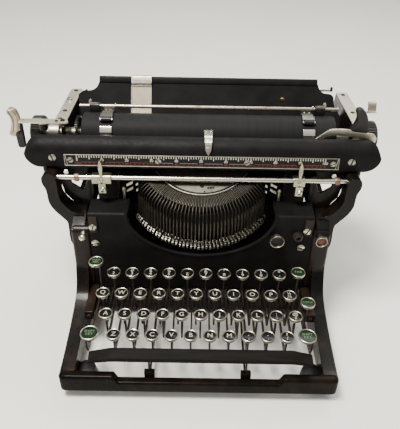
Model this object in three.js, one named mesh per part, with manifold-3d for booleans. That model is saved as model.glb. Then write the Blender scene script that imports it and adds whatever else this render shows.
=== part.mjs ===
// A desk typewriter of the 1930s: cast frame, four banks of round keys, open type basket and a
// sliding carriage. Millimetres, Z up, the typist sits on the -Y side.
//
// The work is laid out in the machine's own frame: x = 0 is the printing point, y = 0 the front
// face of the base and z = 0 the table. The last group moves it so that the origin is the middle
// of the overall footprint.

import * as THREE from 'three';
import Module from 'manifold-3d';

const wasm = await Module();
wasm.setup();

// ---------------------------------------------------------------- driving sizes

const GAP = 0.4;                 // air left between two pieces that do not touch

const KEY_PITCH = 19.05;         // three quarters of an inch between neighbouring keys
const LEVER_PITCH = KEY_PITCH / 4;
const FIRST_LEVER_X = -99.15;    // lever of the letter Q, the outermost one on the left
const ROW_FRONT_Y = 28;          // bottom letter row
const ROW_STEP_Y = 18.5;         // each bank stands further back ...
const ROW_HEIGHTS = [63.4, 73.2, 84, 95.6];   // ... and higher than the one before it
const KEYTOP_RADIUS = 7;
const KEYTOP_HEIGHT = 3.6;
const LEVER_Z = 38;              // middle height of all key levers
const LEVER_HEIGHT = 6;
const LEVER_THICK = 1.8;
const LEVER_BACK_Y = 291;        // levers end just in front of their common shaft
const SHAFT_Y = 296;

const BASE_HALF_WIDTH = 138;
const BASE_BOTTOM = 10;          // the casting stands on rubber feet
const BASE_BACK = 345;
const APRON_Y = 117;             // front face of the body
const APRON_TOP = 144.5;
const FOOT = { x: 117, front: 28, back: 318, radius: 11 };

const PLATEN = { y: 194, z: 199, radius: 22, left: -128.5, right: 141.5 };
const CARRIAGE_BED_Z = 160;      // top of the two carriage rails
const BAIL = { y: 207, z: 224.9, radius: 2.3 };
const MARGIN_ROD = { y: 142, z: 173.5, radius: 2.75 };
const COVER = { left: -182.5, right: 183.5, bottom: 182, top: 213 };
const SPACE_ARMS = [-49.5, 47];  // the two arms of the space bar

// The type basket is a fan around an axis through the printing point, tipped forward.
const BASKET = { y: 180.4, z: 178.7, tilt: THREE.MathUtils.degToRad(22.5) };
const BASKET_HALF_ANGLE = THREE.MathUtils.degToRad(60);

const SPINDLE_RADIUS = 2.2;
const BUTTONS = [
  { name: 'ribbon_button', x: 79.9, z: 119.5, radius: 8 },
  { name: 'red_button', x: 126.3, z: 120, radius: 6.2 },
];

const LEFT_END = -203.5;         // tip of the line-space lever
const RIGHT_END = 187;           // face of the right-hand knob

// ---------------------------------------------------------------- solid helpers

// Turns a three.js geometry into a solid body.
function body(geometry) {
  const g = geometry.index ? geometry.toNonIndexed() : geometry;
  const at = g.getAttribute('position');
  const index = new Map();
  const points = [];
  const triangles = [];
  for (let i = 0; i < at.count; i += 1) {
    const p = [at.getX(i), at.getY(i), at.getZ(i)].map((v) => Math.round(v * 1e4) / 1e4);
    const name = p.join();
    if (!index.has(name)) {
      index.set(name, points.length / 3);
      points.push(...p);
    }
    triangles.push(index.get(name));
  }
  const kept = [];
  for (let t = 0; t < triangles.length; t += 3) {
    const [a, b, c] = triangles.slice(t, t + 3);
    if (a !== b && b !== c && c !== a) kept.push(a, b, c);
  }
  return new wasm.Manifold(new wasm.Mesh({
    numProp: 3,
    vertProperties: new Float32Array(points),
    triVerts: new Uint32Array(kept),
  }));
}

const join = (first, ...others) => others.reduce((sum, next) => sum.add(next), first);

// A box from its two x, two y and two z faces.
function box(x0, x1, y0, y1, z0, z1) {
  const g = new THREE.BoxGeometry(x1 - x0, y1 - y0, z1 - z0);
  g.translate((x0 + x1) / 2, (y0 + y1) / 2, (z0 + z1) / 2);
  return body(g);
}

function extruded(outline, depth, xAxis, yAxis, zAxis, origin) {
  const shape = new THREE.Shape(outline.map(([u, v]) => new THREE.Vector2(u, v)));
  const g = new THREE.ExtrudeGeometry(shape, { depth, bevelEnabled: false, steps: 1 });
  const turn = new THREE.Matrix4().makeBasis(xAxis, yAxis, zAxis);
  g.applyMatrix4(turn.setPosition(origin));
  return body(g);
}

const X = new THREE.Vector3(1, 0, 0);
const Y = new THREE.Vector3(0, 1, 0);
const Z = new THREE.Vector3(0, 0, 1);

// An outline in (y, z) carried from x0 to x1, in (x, z) from y0 to y1, in (x, y) from z0 to z1.
const alongX = (outline, x0, x1) => extruded(outline, x1 - x0, Y, Z, X, new THREE.Vector3(x0, 0, 0));
const alongY = (outline, y0, y1) => extruded(
  outline, y1 - y0, X, Z, Y.clone().negate(), new THREE.Vector3(0, y1, 0),
);
const alongZ = (outline, z0, z1) => extruded(outline, z1 - z0, X, Y, Z, new THREE.Vector3(0, 0, z0));

const mirrored = (outline) => outline.map(([u, v]) => [-u, v]).reverse();

// Round bars along x and upright round posts.
function rodX(radius, x0, x1, y, z, sides = 16) {
  const g = new THREE.CylinderGeometry(radius, radius, x1 - x0, sides);
  g.rotateZ(-Math.PI / 2);
  g.translate((x0 + x1) / 2, y, z);
  return body(g);
}

function rodY(radius, y0, y1, x, z, sides = 16) {
  const g = new THREE.CylinderGeometry(radius, radius, y1 - y0, sides);
  g.translate(x, (y0 + y1) / 2, z);
  return body(g);
}

function rodZ(radius, z0, z1, x, y, sides = 16) {
  const g = new THREE.CylinderGeometry(radius, radius, z1 - z0, sides);
  g.rotateX(Math.PI / 2);
  g.translate(x, y, (z0 + z1) / 2);
  return body(g);
}

// ---------------------------------------------------------------- finished pieces

const machine = new THREE.Group();

function piece(name, solid, colour, metalness = 0.2, roughness = 0.5) {
  const made = solid.getMesh();
  const g = new THREE.BufferGeometry();
  g.setAttribute('position', new THREE.BufferAttribute(new Float32Array(made.vertProperties), 3));
  g.setIndex(new THREE.BufferAttribute(new Uint32Array(made.triVerts), 1));
  g.computeVertexNormals();
  const mesh = new THREE.Mesh(g, new THREE.MeshStandardMaterial({ color: colour, metalness, roughness }));
  mesh.name = name;
  machine.add(mesh);
}

const BLACK = 0x17161a;
const CRINKLE = 0x232327;
const NICKEL = 0xb9b3a3;
const STEEL = 0x6d6a64;
const RUBBER = 0x2d2e31;
const GREEN = 0x2f6b52;
const RED = 0x8f2f28;

// ---------------------------------------------------------------- frame

// Post that carries one end of the carriage rail cover: swept outwards like a bracket.
const POST_OUTLINE = [
  [-124, 88], [-138, 88], [-144.4, 96], [-144.4, 119], [-147.2, 125.5], [-155.8, 136],
  [-161, 147], [-161.8, 162], [-164.8, 172], [-164.8, 177.5], [-160, 181.4], [-153, 181.4],
  [-150, 176], [-149.6, 162], [-149, 150], [-138, 136], [-124, 128],
];

// Side casting: low rail at the front, sweeping up into the body, with an open window.
const SIDE_OUTLINE = [
  [3, BASE_BOTTOM], [BASE_BACK, BASE_BOTTOM], [BASE_BACK, 140], [BASE_BACK - 12, 150], [222, 150],
  [204, 140], [150, 136], [134, 130], [118, 122], [117, 78], [107, 54], [92, 44], [60, 36],
  [16, 30], [3, 30],
];
const WINDOW_OUTLINE = [
  [168, 52], [176, 44], [300, 44], [310, 54], [310, 118], [300, 128], [176, 124], [168, 114],
];

// Thin web inside each bracket, and the cheek behind it that closes the body beside the basket.
const WEB_OUTLINE = [
  [-151, 172], [-138.6, 172], [-138, 162.4], [-127.6, 154.6], [-125.4, 155.6], [-121.4, 165.9],
  [-119, 175], [-115, 175], [-115, 142], [-124, 128], [-137, 136.5], [-147, 149.5],
];
const CHEEK_OUTLINE = [[148, 128], [214, 128], [214, 168], [172, 170], [168, 176], [148, 176]];

// Front plate with a level shelf behind its top edge; the type basket looks out of the mouth.
// Below the key levers a cross bar closes the body, notched for the two space bar arms.
function apronPlate() {
  const plate = box(-118.5, 118.5, APRON_Y, APRON_Y + 3, 43, APRON_TOP);
  const shelf = box(-118.5, 118.5, APRON_Y, 147, APRON_TOP - 3, APRON_TOP);
  const crossBar = box(-126, 126, APRON_Y, APRON_Y + 4, BASE_BOTTOM, 24);
  const notches = SPACE_ARMS.map((x) => box(x - 4, x + 4, 110, 130, 0, 21.5));
  const mouth = new THREE.CylinderGeometry(1, 1, 60, 40);
  mouth.scale(77, 1, 52.5);
  mouth.translate(0, 130, 145);
  return join(plate, shelf).subtract(body(mouth)).add(crossBar.subtract(join(...notches)));
}

function mainFrame() {
  const parts = [box(-96, 96, 0, 9, BASE_BOTTOM, 24)];
  for (const side of [-1, 1]) {
    const [inner, outer] = [124, BASE_HALF_WIDTH];
    const span = (a, b) => (side < 0 ? [-b, -a] : [a, b]);
    const window = alongX(WINDOW_OUTLINE, ...span(inner - 10, outer + 10));
    parts.push(alongX(SIDE_OUTLINE, ...span(inner, outer)).subtract(window));
    parts.push(box(...span(83, outer), 0, 10, BASE_BOTTOM, 31.5));
    parts.push(box(...span(118, outer), APRON_Y, 134, 46, 122));
    parts.push(box(...span(114.6, inner + 1), 74, APRON_Y + 2, 34, 46));
    const post = side < 0 ? POST_OUTLINE : mirrored(POST_OUTLINE);
    parts.push(alongY(post, 133, 151));
    parts.push(box(...span(151, 168), 150, 158, 172, 206));
    for (const y of [FOOT.front, FOOT.back]) {
      parts.push(rodZ(FOOT.radius, 0, BASE_BOTTOM + 4, side * FOOT.x, y, 20));
    }
  }
  parts.push(box(-125, 125, BASE_BACK - 10, BASE_BACK, BASE_BOTTOM, 46));
  parts.push(box(-125, 125, BASE_BACK - 10, BASE_BACK, 122, 148));
  parts.push(box(-125, 125, 224, 232, 148, CARRIAGE_BED_Z));
  parts.push(box(-125, 125, 268, 276, 148, CARRIAGE_BED_Z));
  for (const side of [-1, 1]) {
    const x = side * 125;
    parts.push(box(x - 10, x + 10, 224, 276, 146, CARRIAGE_BED_Z));
    const web = side < 0 ? WEB_OUTLINE : mirrored(WEB_OUTLINE);
    parts.push(alongY(web, 148, 151));
    parts.push(alongX(CHEEK_OUTLINE, side * 119.5 - 1.5, side * 119.5 + 1.5));
  }
  parts.push(rodX(3, -126, 126, SHAFT_Y, LEVER_Z, 12));
  parts.push(rodX(3, -126, 126, 156, 16.5, 12));
  parts.push(rodX(MARGIN_ROD.radius, -153, 153, MARGIN_ROD.y, MARGIN_ROD.z, 12));
  parts.push(box(-126, 126, 212, 216, 44, 168));
  parts.push(box(-126, 126, APRON_Y + 3, 213, 43, 45));
  parts.push(apronPlate());
  const holes = BUTTONS.map(({ x, z }) => rodY(SPINDLE_RADIUS + GAP, 110, 126, x, z, 16));
  return join(...parts).subtract(join(...holes));
}

// Long cover over the carriage rail; it carries the letter scale and its ends are round. Behind
// each end of the margin rod a plate hangs down from it.
function railCover() {
  const outer = [
    [145, 182], [145, 202], [147.5, 208], [152, 211.4], [157, COVER.top], [161, 212.8],
    [164.4, 210.8], [166, 208.6], [160, 208.6], [160, 182],
  ];
  const height = COVER.top - COVER.bottom + 2;
  const r = height / 2;
  const ends = [];
  const middle = COVER.bottom + r - 1;
  for (let i = 0; i <= 12; i += 1) {
    const a = -Math.PI / 2 + (Math.PI * i) / 12;
    ends.push([COVER.right - r + r * Math.cos(a), middle + r * Math.sin(a)]);
  }
  for (let i = 0; i <= 12; i += 1) {
    const a = Math.PI / 2 + (Math.PI * i) / 12;
    ends.push([COVER.left + r + r * Math.cos(a), middle + r * Math.sin(a)]);
  }
  const bar = alongX(outer, COVER.left, COVER.right).intersect(alongY(ends, 140, 172));
  const hollow = box(-171, 171, 148.4, 172, 180, 207.5);
  const strip = box(-141, 140, 144, 146, 187, 199);
  const valances = [-158, 121].map((x) => box(x, x + 37, 158.4, 160, 162.5, 209));
  return join(bar.subtract(hollow), strip, ...valances);
}

// ---------------------------------------------------------------- type basket

// Section through the fan in (distance from the axis, height along the axis).
const BASKET_SECTION = [
  [22, 3], [50.5, 3], [51.5, 4.2], [69, 6.3], [76.1, 2.6], [83.6, -50], [84.6, -56], [79.5, -56],
  [71.5, -5], [62, -7], [51, -5], [22, 0],
];

function typeBasket() {
  const steps = 22;
  const count = BASKET_SECTION.length;
  const outward = new THREE.Vector3(0, -Math.cos(BASKET.tilt), -Math.sin(BASKET.tilt));
  const up = new THREE.Vector3(0, -Math.sin(BASKET.tilt), Math.cos(BASKET.tilt));
  const centre = new THREE.Vector3(0, BASKET.y, BASKET.z);
  const ring = [];
  for (let s = 0; s <= steps; s += 1) {
    const a = -BASKET_HALF_ANGLE + (2 * BASKET_HALF_ANGLE * s) / steps;
    for (const [r, h] of BASKET_SECTION) {
      ring.push(centre.clone().addScaledVector(X, r * Math.sin(a))
        .addScaledVector(outward, r * Math.cos(a)).addScaledVector(up, h));
    }
  }
  const corners = [];
  const face = (a, b, c) => corners.push(ring[a], ring[b], ring[c]);
  for (let s = 0; s < steps; s += 1) {
    for (let k = 0; k < count; k += 1) {
      const n = (k + 1) % count;
      const [a, b, c, d] = [s * count + k, s * count + n, (s + 1) * count + n, (s + 1) * count + k];
      face(a, b, c);
      face(a, c, d);
    }
  }
  const cap = THREE.ShapeUtils.triangulateShape(BASKET_SECTION.map((p) => new THREE.Vector2(...p)), []);
  const last = steps * count;
  for (const [a, b, c] of cap) {
    face(a, b, c);
    face(last + c, last + b, last + a);
  }
  const g = new THREE.BufferGeometry();
  g.setAttribute('position', new THREE.Float32BufferAttribute(corners.flatMap((p) => p.toArray()), 3));
  return body(g);
}

// ---------------------------------------------------------------- keys

const ROWS = [
  { names: ['z', 'x', 'c', 'v', 'b', 'n', 'm', 'comma', 'period', 'slash'], shift: 3 },
  { names: ['a', 's', 'd', 'f', 'g', 'h', 'j', 'k', 'l', 'semicolon', 'at'], shift: 1 },
  { names: ['q', 'w', 'e', 'r', 't', 'y', 'u', 'i', 'o', 'p', 'half'], shift: 0 },
  { names: ['2', '3', '4', '5', '6', '7', '8', '9', '0', 'hyphen'], shift: 2 },
];

// Round top, flat stem and a lever that runs back to the common shaft.
function keySolid({ x, y, z, radius = KEYTOP_RADIUS, stemX = x, sides = 12 }) {
  const top = rodZ(radius, z - KEYTOP_HEIGHT, z, x, y, sides);
  const half = LEVER_THICK / 2;
  const low = LEVER_Z - LEVER_HEIGHT / 2;
  const high = LEVER_Z + LEVER_HEIGHT / 2;
  const side = [
    [y - 1.5, low], [LEVER_BACK_Y, low], [LEVER_BACK_Y, high], [y + 3, high], [y + 1.5, high + 3],
    [y + 1.5, z - KEYTOP_HEIGHT + 1], [y - 1.5, z - KEYTOP_HEIGHT + 1],
  ];
  return top.add(alongX(side, stemX - half, stemX + half));
}

function letterKeys() {
  ROWS.forEach((row, bank) => {
    row.names.forEach((name, i) => {
      const place = {
        x: FIRST_LEVER_X + row.shift * LEVER_PITCH + i * KEY_PITCH,
        y: ROW_FRONT_Y + bank * ROW_STEP_Y,
        z: ROW_HEIGHTS[bank],
      };
      piece(`key_${name}`, keySolid(place), BLACK, 0.3, 0.3);
    });
  });
}

// Both shift keys sit on one rocker, so either of them moves the other.
function shiftKeys() {
  const keys = [[-108.3, -112.5], [106.2, 112.5]].map(([x, armX]) => keySolid({
    x, y: ROW_FRONT_Y, z: 65, radius: 9, stemX: armX, sides: 16,
  }));
  const arms = [-112.5, 112.5].map((x) => box(x - 0.9, x + 0.9, 285, 306, 31, 45));
  const bore = rodX(3 + GAP, -120, 120, SHAFT_Y, LEVER_Z, 12);
  return join(...keys, ...arms, box(-113.4, 113.4, 302, 306, 35, 41)).subtract(bore);
}

// The shift lock rides on the right-hand shift arm and rocks on it.
function shiftLockKey() {
  const top = rodZ(7.5, 79.4, 83, 108.7, 56, 16);
  const side = [
    [54.5, 44], [104, 44], [104, 49], [59, 49], [57.5, 52], [57.5, 80.4], [54.5, 80.4],
  ];
  return top.add(alongX(side, 107.6, 109.4));
}

// Bar with dropped, chamfered ends on two arms that pass under all the key levers.
function spaceBar() {
  const front = [
    [-108.4, 45], [-106, 50.5], [-101, 53], [-86, 56.2], [90, 56.2], [104, 53], [109, 50.5],
    [111.4, 45], [110, 44], [99, 46.5], [-96, 46.5], [-107, 44],
  ];
  const bar = alongY(front, 6.5, 17.8);
  const arms = SPACE_ARMS.map((x) => join(
    box(x - 1.5, x + 1.5, 11, 15, 14, 50),
    box(x - 1.5, x + 1.5, 11, 152, 14, 19.5),
  ));
  return join(bar, ...arms);
}

// ---------------------------------------------------------------- small controls

// Push button on a short spindle that slides in a hole of the frame.
function pushButton({ x, z, radius }) {
  return rodY(radius, 107, 110.5, x, z, 20).add(rodY(SPINDLE_RADIUS, 110, 121, x, z, 16));
}

// Sleeve on the margin rod with a clamp below and a thin pointer up to the scale.
function marginStop(x, width) {
  const { y, z } = MARGIN_ROD;
  const sleeve = box(x - width / 2, x + width / 2, y - 5.5, y + 5, z - 5.5, z + 5);
  const clamp = box(x - 4, x + 4, y - 7, y, z - 16, z - 4);
  const pointer = box(x - 2, x + 2, y - 4.2, y - 2.9, z, 197);
  const hole = rodX(MARGIN_ROD.radius + GAP, x - width, x + width, y, z, 12);
  return join(sleeve, clamp, pointer).subtract(hole);
}

// ---------------------------------------------------------------- carriage

// Sheet between the end plates that leans back behind the platen; its top corners are notched.
function paperTable() {
  const sheet = alongX([[222, 166], [224.5, 166], [224.5, 183.5], [257, 240], [254.8, 240.8],
    [222, 184.5]], -143, 159);
  const outline = [
    [-143, 160], [159, 160], [159, 205], [151.5, 214], [151, 222], [148, 226], [138, 227],
    [133.5, 231], [131.5, 236], [131, 242], [-118.2, 242], [-118.6, 236], [-122, 229.5],
    [-127, 226.3], [-133, 225.6], [-143, 222],
  ];
  return sheet.intersect(alongY(outline, 200, 270));
}

function carriageFrame() {
  const bed = box(-147, 162, 222, 280, CARRIAGE_BED_Z + GAP, 168);
  const sideOutline = [
    [169.2, 204], [169.2, 219.5], [268, 219.5], [280, 186], [280, 162], [222, 162], [216, 172], [178, 176],
  ];
  const rightOutline = [[184, 219.5], ...sideOutline.slice(2), [184, 190]];
  const left = alongX(sideOutline, -147, -143);
  const right = alongX(rightOutline, 158, 162);
  const flanges = join(
    box(-156, -143, 170, 268, 217.2, 219.5),
    box(158, 170, 184, 268, 217.2, 219.5),
  );
  const hole = rodX(7, -160, 170, PLATEN.y, PLATEN.z, 20);
  const frontBar = box(-143, 112, 169.2, 170.8, 205, 208);
  const bracket = box(3.5, 9.5, 169.2, 170.8, 205, 215);
  const pointer = alongX([
    [170.8, 214.2], [170.8, 216.2], [152, 216.2], [145.5, 211], [142.8, 204], [142.8, 198.6],
    [144, 198.6], [144, 204], [146.6, 210], [152.6, 214.9], [164, 214.9], [169.6, 213],
  ], 3.5, 9.5);
  return join(join(bed, left, right, flanges).subtract(hole), frontBar, bracket, pointer, paperTable());
}

function platen() {
  const { y, z, radius, left, right } = PLATEN;
  return join(
    rodX(radius, left, right, y, z, 40),
    rodX(6, -178, 184, y, z, 16),
    rodX(10, -162, -155, y, z, 24),
    rodX(18, -184, -170, y, z, 28),
    rodX(18, 176, RIGHT_END, y, z, 28),
  );
}

// Two sprung fingers on a round bar; they lie on the platen and lift off it together.
function paperBail() {
  const fingers = [-100.8, 112.3].map((x) => {
    const arc = [];
    const ring = (radius, from, to) => {
      for (let i = 0; i <= 10; i += 1) {
        const a = THREE.MathUtils.degToRad(from + ((to - from) * i) / 10);
        arc.push([PLATEN.y + radius * Math.cos(a), PLATEN.z + radius * Math.sin(a)]);
      }
    };
    ring(PLATEN.radius + 0.8, 66, 155);
    ring(PLATEN.radius + 2.4, 155, 66);
    const band = alongX(arc, x - 6, x + 6);
    const clip = box(x - 5, x + 5, BAIL.y - 5, BAIL.y + 2.5, BAIL.z - 4.2, BAIL.z + 3);
    return join(band, clip);
  });
  const brackets = [-116, 127].map((x) => box(x - 5, x + 5, 203.5, 210.5, 222.8, 229));
  const bar = rodX(BAIL.radius, -134, 148, BAIL.y, BAIL.z, 12);
  return join(bar, ...fingers, ...brackets);
}

// Flat lever on the left end plate with a bowed grip and a dark adjusting block under it.
function returnLever() {
  const arm = alongZ([
    [-139, 172], [-143, 178.5], [-192, 178.5], [-192, 170], [-169, 170], [-165, 169.2], [-161, 170],
    [-141, 170],
  ], 219.9, 222.1);
  const grip = alongY([
    [-202, 233], [-199.5, 236], [-195.5, 235.4], [-191.6, 229], [-190.2, 222], [-191, 214],
    [-196, 204.6], [-200.5, 204.4], [LEFT_END, 208], [-198.5, 216], [-197, 223], [-198.6, 228],
  ], 170, 177);
  const block = box(-196, -187.4, 169.6, 175.6, 191, 210);
  return join(arm, grip, block);
}

// Nickel arm with a curved horn that frees the carriage.
function releaseLever() {
  const arm = alongY([
    [112, 201], [118, 207.8], [128, 216], [134, 219.2], [146, 219.6], [152.6, 219.2], [158, 217],
    [173.5, 215.6], [178.8, 214.2], [182.2, 209], [180.3, 204], [177, 205.5], [172.3, 209.3],
    [157.7, 211.8], [147.7, 211.6], [135, 212.8], [124.3, 207.2], [116, 199],
  ], 169.2, 171.4);
  const horn = alongY([
    [153, 214], [170, 214], [170, 222], [169, 230], [166, 237], [161.5, 241], [157, 241],
    [157.4, 237], [159, 231], [157.5, 224], [154.5, 219],
  ], 169.2, 177.5);
  return join(arm, horn);
}

// Small thumb lever on the outside of the right end plate.
function paperReleaseLever() {
  const arm = alongX([
    [206, 196], [214, 196], [210, 222], [203, 228], [196, 229.5], [196, 227.5], [202, 225.6], [206, 219],
  ], 171, 173.5);
  return join(arm, box(171, RIGHT_END, 196, 203, 227.5, 230));
}

// ---------------------------------------------------------------- assembly

piece('main_frame', mainFrame(), BLACK, 0.3, 0.45);
piece('type_basket', typeBasket(), STEEL, 0.7, 0.4);
piece('rail_cover', railCover(), CRINKLE, 0.1, 0.7);
piece('margin_stop_left', marginStop(-104, 20), NICKEL, 0.9, 0.3);
piece('margin_stop_right', marginStop(101, 12), NICKEL, 0.9, 0.3);

letterKeys();
piece('shift_keys', shiftKeys(), GREEN, 0.2, 0.4);
piece('shift_lock_key', shiftLockKey(), GREEN, 0.2, 0.4);
piece('margin_release_key', keySolid({ x: -107.2, y: 86, z: 107.6, radius: 7.5, stemX: -104 }), GREEN);
piece('tabulator_key', keySolid({ x: 101, y: 84, z: 98.6, radius: 7.5, stemX: 101 }), GREEN);
piece('space_bar', spaceBar(), BLACK, 0.2, 0.35);
for (const button of BUTTONS) {
  piece(button.name, pushButton(button), button.name === 'red_button' ? RED : BLACK, 0.3, 0.35);
}

piece('carriage_frame', carriageFrame(), CRINKLE, 0.3, 0.6);
piece('platen', platen(), RUBBER, 0, 0.8);
piece('paper_bail', paperBail(), NICKEL, 0.9, 0.3);
piece('return_lever', returnLever(), NICKEL, 0.9, 0.3);
piece('release_lever', releaseLever(), NICKEL, 0.9, 0.3);
piece('paper_release_lever', paperReleaseLever(), NICKEL, 0.9, 0.3);

machine.position.set(-(LEFT_END + RIGHT_END) / 2, -BASE_BACK / 2, 0);
const group = new THREE.Group();
group.add(machine);

export default group;
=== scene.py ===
"""A manual desk typewriter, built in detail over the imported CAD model.

Sizes are millimetres in the machine's own frame: x = 0 is the printing point, y = 0 the front face
of the base and z = 0 the table. scatter() turns them into metres in the row frame.
"""
import math

import bmesh
import bpy
from mathutils import Matrix, Vector


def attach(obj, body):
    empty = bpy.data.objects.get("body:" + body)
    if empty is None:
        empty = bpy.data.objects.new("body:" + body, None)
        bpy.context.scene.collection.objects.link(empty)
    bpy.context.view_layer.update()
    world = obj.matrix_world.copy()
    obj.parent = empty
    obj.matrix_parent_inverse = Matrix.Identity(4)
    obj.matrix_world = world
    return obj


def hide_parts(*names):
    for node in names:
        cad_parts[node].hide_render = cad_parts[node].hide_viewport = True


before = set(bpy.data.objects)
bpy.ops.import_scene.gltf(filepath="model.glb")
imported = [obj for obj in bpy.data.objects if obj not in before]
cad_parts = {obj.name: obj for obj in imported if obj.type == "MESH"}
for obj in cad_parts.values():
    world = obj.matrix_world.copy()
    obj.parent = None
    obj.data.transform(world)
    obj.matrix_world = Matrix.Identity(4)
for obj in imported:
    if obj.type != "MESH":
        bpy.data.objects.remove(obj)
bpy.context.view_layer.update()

# ------------------------------------------------------------------ driving sizes

MM = 0.001
SHIFT_X, SHIFT_Y = 8.25, -172.5        # machine frame to row frame

KEY_PITCH = 19.05
LEVER_PITCH = KEY_PITCH / 4
FIRST_LEVER_X = -99.15
ROW_FRONT_Y, ROW_STEP_Y = 28, 18.5
ROW_HEIGHTS = (63.4, 73.2, 84, 95.6)
LEVER_LOW, LEVER_HIGH, LEVER_BACK = 35, 41, 291
SHAFT_Y, SHAFT_Z = 296, 38
SPACE_SHAFT_Y, SPACE_SHAFT_Z = 156, 16.5

INNER, OUTER = 124, 138               # the side castings
BASE_BOTTOM, BASE_BACK = 10, 345
APRON_Y, APRON_TOP = 117, 144.5
PLATEN_Y, PLATEN_Z, PLATEN_R = 194, 199, 22
BAIL_Y, BAIL_Z = 207, 224.9
ROD_Y, ROD_Z, ROD_R = 142, 173.5, 2.75
BASKET_Y, BASKET_Z, BASKET_TILT = 180.4, 178.7, math.radians(22.5)
BAR_COUNT, BAR_STEP = 42, math.radians(2.8)
LETTER_PITCH, SCALE_ZERO = 2.54, -128.2
SPACE_ARMS = (-49.5, 47)
MOUTH_Z, MOUTH_WIDE, MOUTH_HIGH = 145, 77, 52.5
COVER_LEFT, COVER_RIGHT = -182.5, 183.5
KNOB_R, KNOB_RIBS = 18, 40
POINTER_X = 6

# ------------------------------------------------------------------ geometry helpers


def pos(axis, u, v, w):
    """A point from its two outline coordinates and its place along the axis."""
    if axis == "x":
        return Vector((w, u, v))
    if axis == "y":
        return Vector((u, w, v))
    return Vector((u, v, w))


def arc(cx, cy, r, start, end, steps=12, ry=None):
    """Points on a circle or ellipse from one angle to another, in degrees."""
    ry = r if ry is None else ry
    out = []
    for i in range(steps + 1):
        a = math.radians(start + (end - start) * i / steps)
        out.append((cx + r * math.cos(a), cy + ry * math.sin(a)))
    return out


def smooth(points, steps=4, closed=True):
    """A smooth line through the given points."""
    n = len(points)
    out = []
    for i in range(n if closed else n - 1):
        if closed:
            a, b, c, d = (points[(i + k - 1) % n] for k in range(4))
        else:
            a, b, c, d = (points[min(max(i + k - 1, 0), n - 1)] for k in range(4))
        for s in range(steps):
            t = s / steps
            out.append(tuple(
                0.5 * (2 * q + (r - p) * t + (2 * p - 5 * q + 4 * r - w) * t * t
                       + (3 * q - p - 3 * r + w) * t ** 3)
                for p, q, r, w in zip(a, b, c, d)))
    if not closed:
        out.append(tuple(points[-1]))
    return out


def round_edges(bm, size, steps=2):
    """Bevels every edge sharper than 40 degrees."""
    edges = [e for e in bm.edges if e.is_manifold and e.calc_face_angle() > math.radians(40)]
    bmesh.ops.bevel(bm, geom=edges, offset=size, segments=steps, profile=0.5, affect="EDGES",
                    clamp_overlap=True)


def merge(bm, part):
    """Adds one bmesh to another."""
    mesh = bpy.data.meshes.new("part")
    part.to_mesh(mesh)
    bm.from_mesh(mesh)
    bpy.data.meshes.remove(mesh)
    part.free()


def plate(bm, axis, loops, a, b, edge=0.0, steps=2):
    """A plate between a and b along the axis; the first loop is its outline, the rest are holes."""
    part = bmesh.new()
    for loop in loops:
        verts = [part.verts.new(pos(axis, u, v, a)) for u, v in loop]
        for i, vert in enumerate(verts):
            part.edges.new((verts[i - 1], vert))
    bmesh.ops.triangle_fill(part, use_beauty=True, edges=part.edges[:])
    made = bmesh.ops.extrude_face_region(part, geom=part.faces[:])
    far = [v for v in made["geom"] if isinstance(v, bmesh.types.BMVert)]
    bmesh.ops.translate(part, verts=far, vec=pos(axis, 0, 0, b - a))
    bmesh.ops.recalc_face_normals(part, faces=part.faces[:])
    if edge:
        round_edges(part, edge, steps)
    merge(bm, part)


def slab(bm, x0, x1, y0, y1, z0, z1, edge=0.4, steps=2):
    """A block between two x, two y and two z places."""
    plate(bm, "z", [[(x0, y0), (x1, y0), (x1, y1), (x0, y1)]], z0, z1, edge, steps)


def mirrored(side, near, far):
    """Two x places counted out from the middle on one side, -1 or 1, the lesser of them first."""
    return sorted((side * near, side * far))


def lathe(bm, profile, origin, axis="z", sides=32):
    """Turns a profile of (radius, place along the axis) round an axis through the origin."""
    origin = Vector(origin)
    part = bmesh.new()
    rings = []
    for radius, along in profile:
        if radius < 1e-6:
            rings.append([part.verts.new(origin + pos(axis, 0, 0, along))])
            continue
        ring = []
        for i in range(sides):
            a = 2 * math.pi * i / sides
            ring.append(part.verts.new(
                origin + pos(axis, radius * math.cos(a), radius * math.sin(a), along)))
        rings.append(ring)
    for r, s in zip(rings, rings[1:]):
        for i in range(sides):
            j = (i + 1) % sides
            corners = [r[i % len(r)], r[j % len(r)], s[j % len(s)], s[i % len(s)]]
            part.faces.new(list(dict.fromkeys(corners)))
    for ring in (rings[0], rings[-1]):
        if len(ring) > 1:
            part.faces.new(ring)
    bmesh.ops.recalc_face_normals(part, faces=part.faces[:])
    merge(bm, part)


def rod(bm, radius, a, b, origin, axis="x", sides=24, edge=0.4):
    """A round bar from a to b along the axis, with softened ends."""
    lathe(bm, [(0, a), (radius - edge, a), (radius, a + edge), (radius, b - edge),
               (radius - edge, b), (0, b)], origin, axis, sides)


def skin(bm, outlines):
    """A closed skin over outlines of (x, y, z) that have the same number of points each."""
    rings = [[bm.verts.new(point) for point in outline] for outline in outlines]
    for r, s in zip(rings, rings[1:]):
        for k in range(len(r)):
            m = (k + 1) % len(r)
            bm.faces.new((r[k], s[k], s[m], r[m]))
    bm.faces.new(rings[0])
    bm.faces.new(rings[-1])
    bmesh.ops.recalc_face_normals(bm, faces=bm.faces[:])


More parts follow.
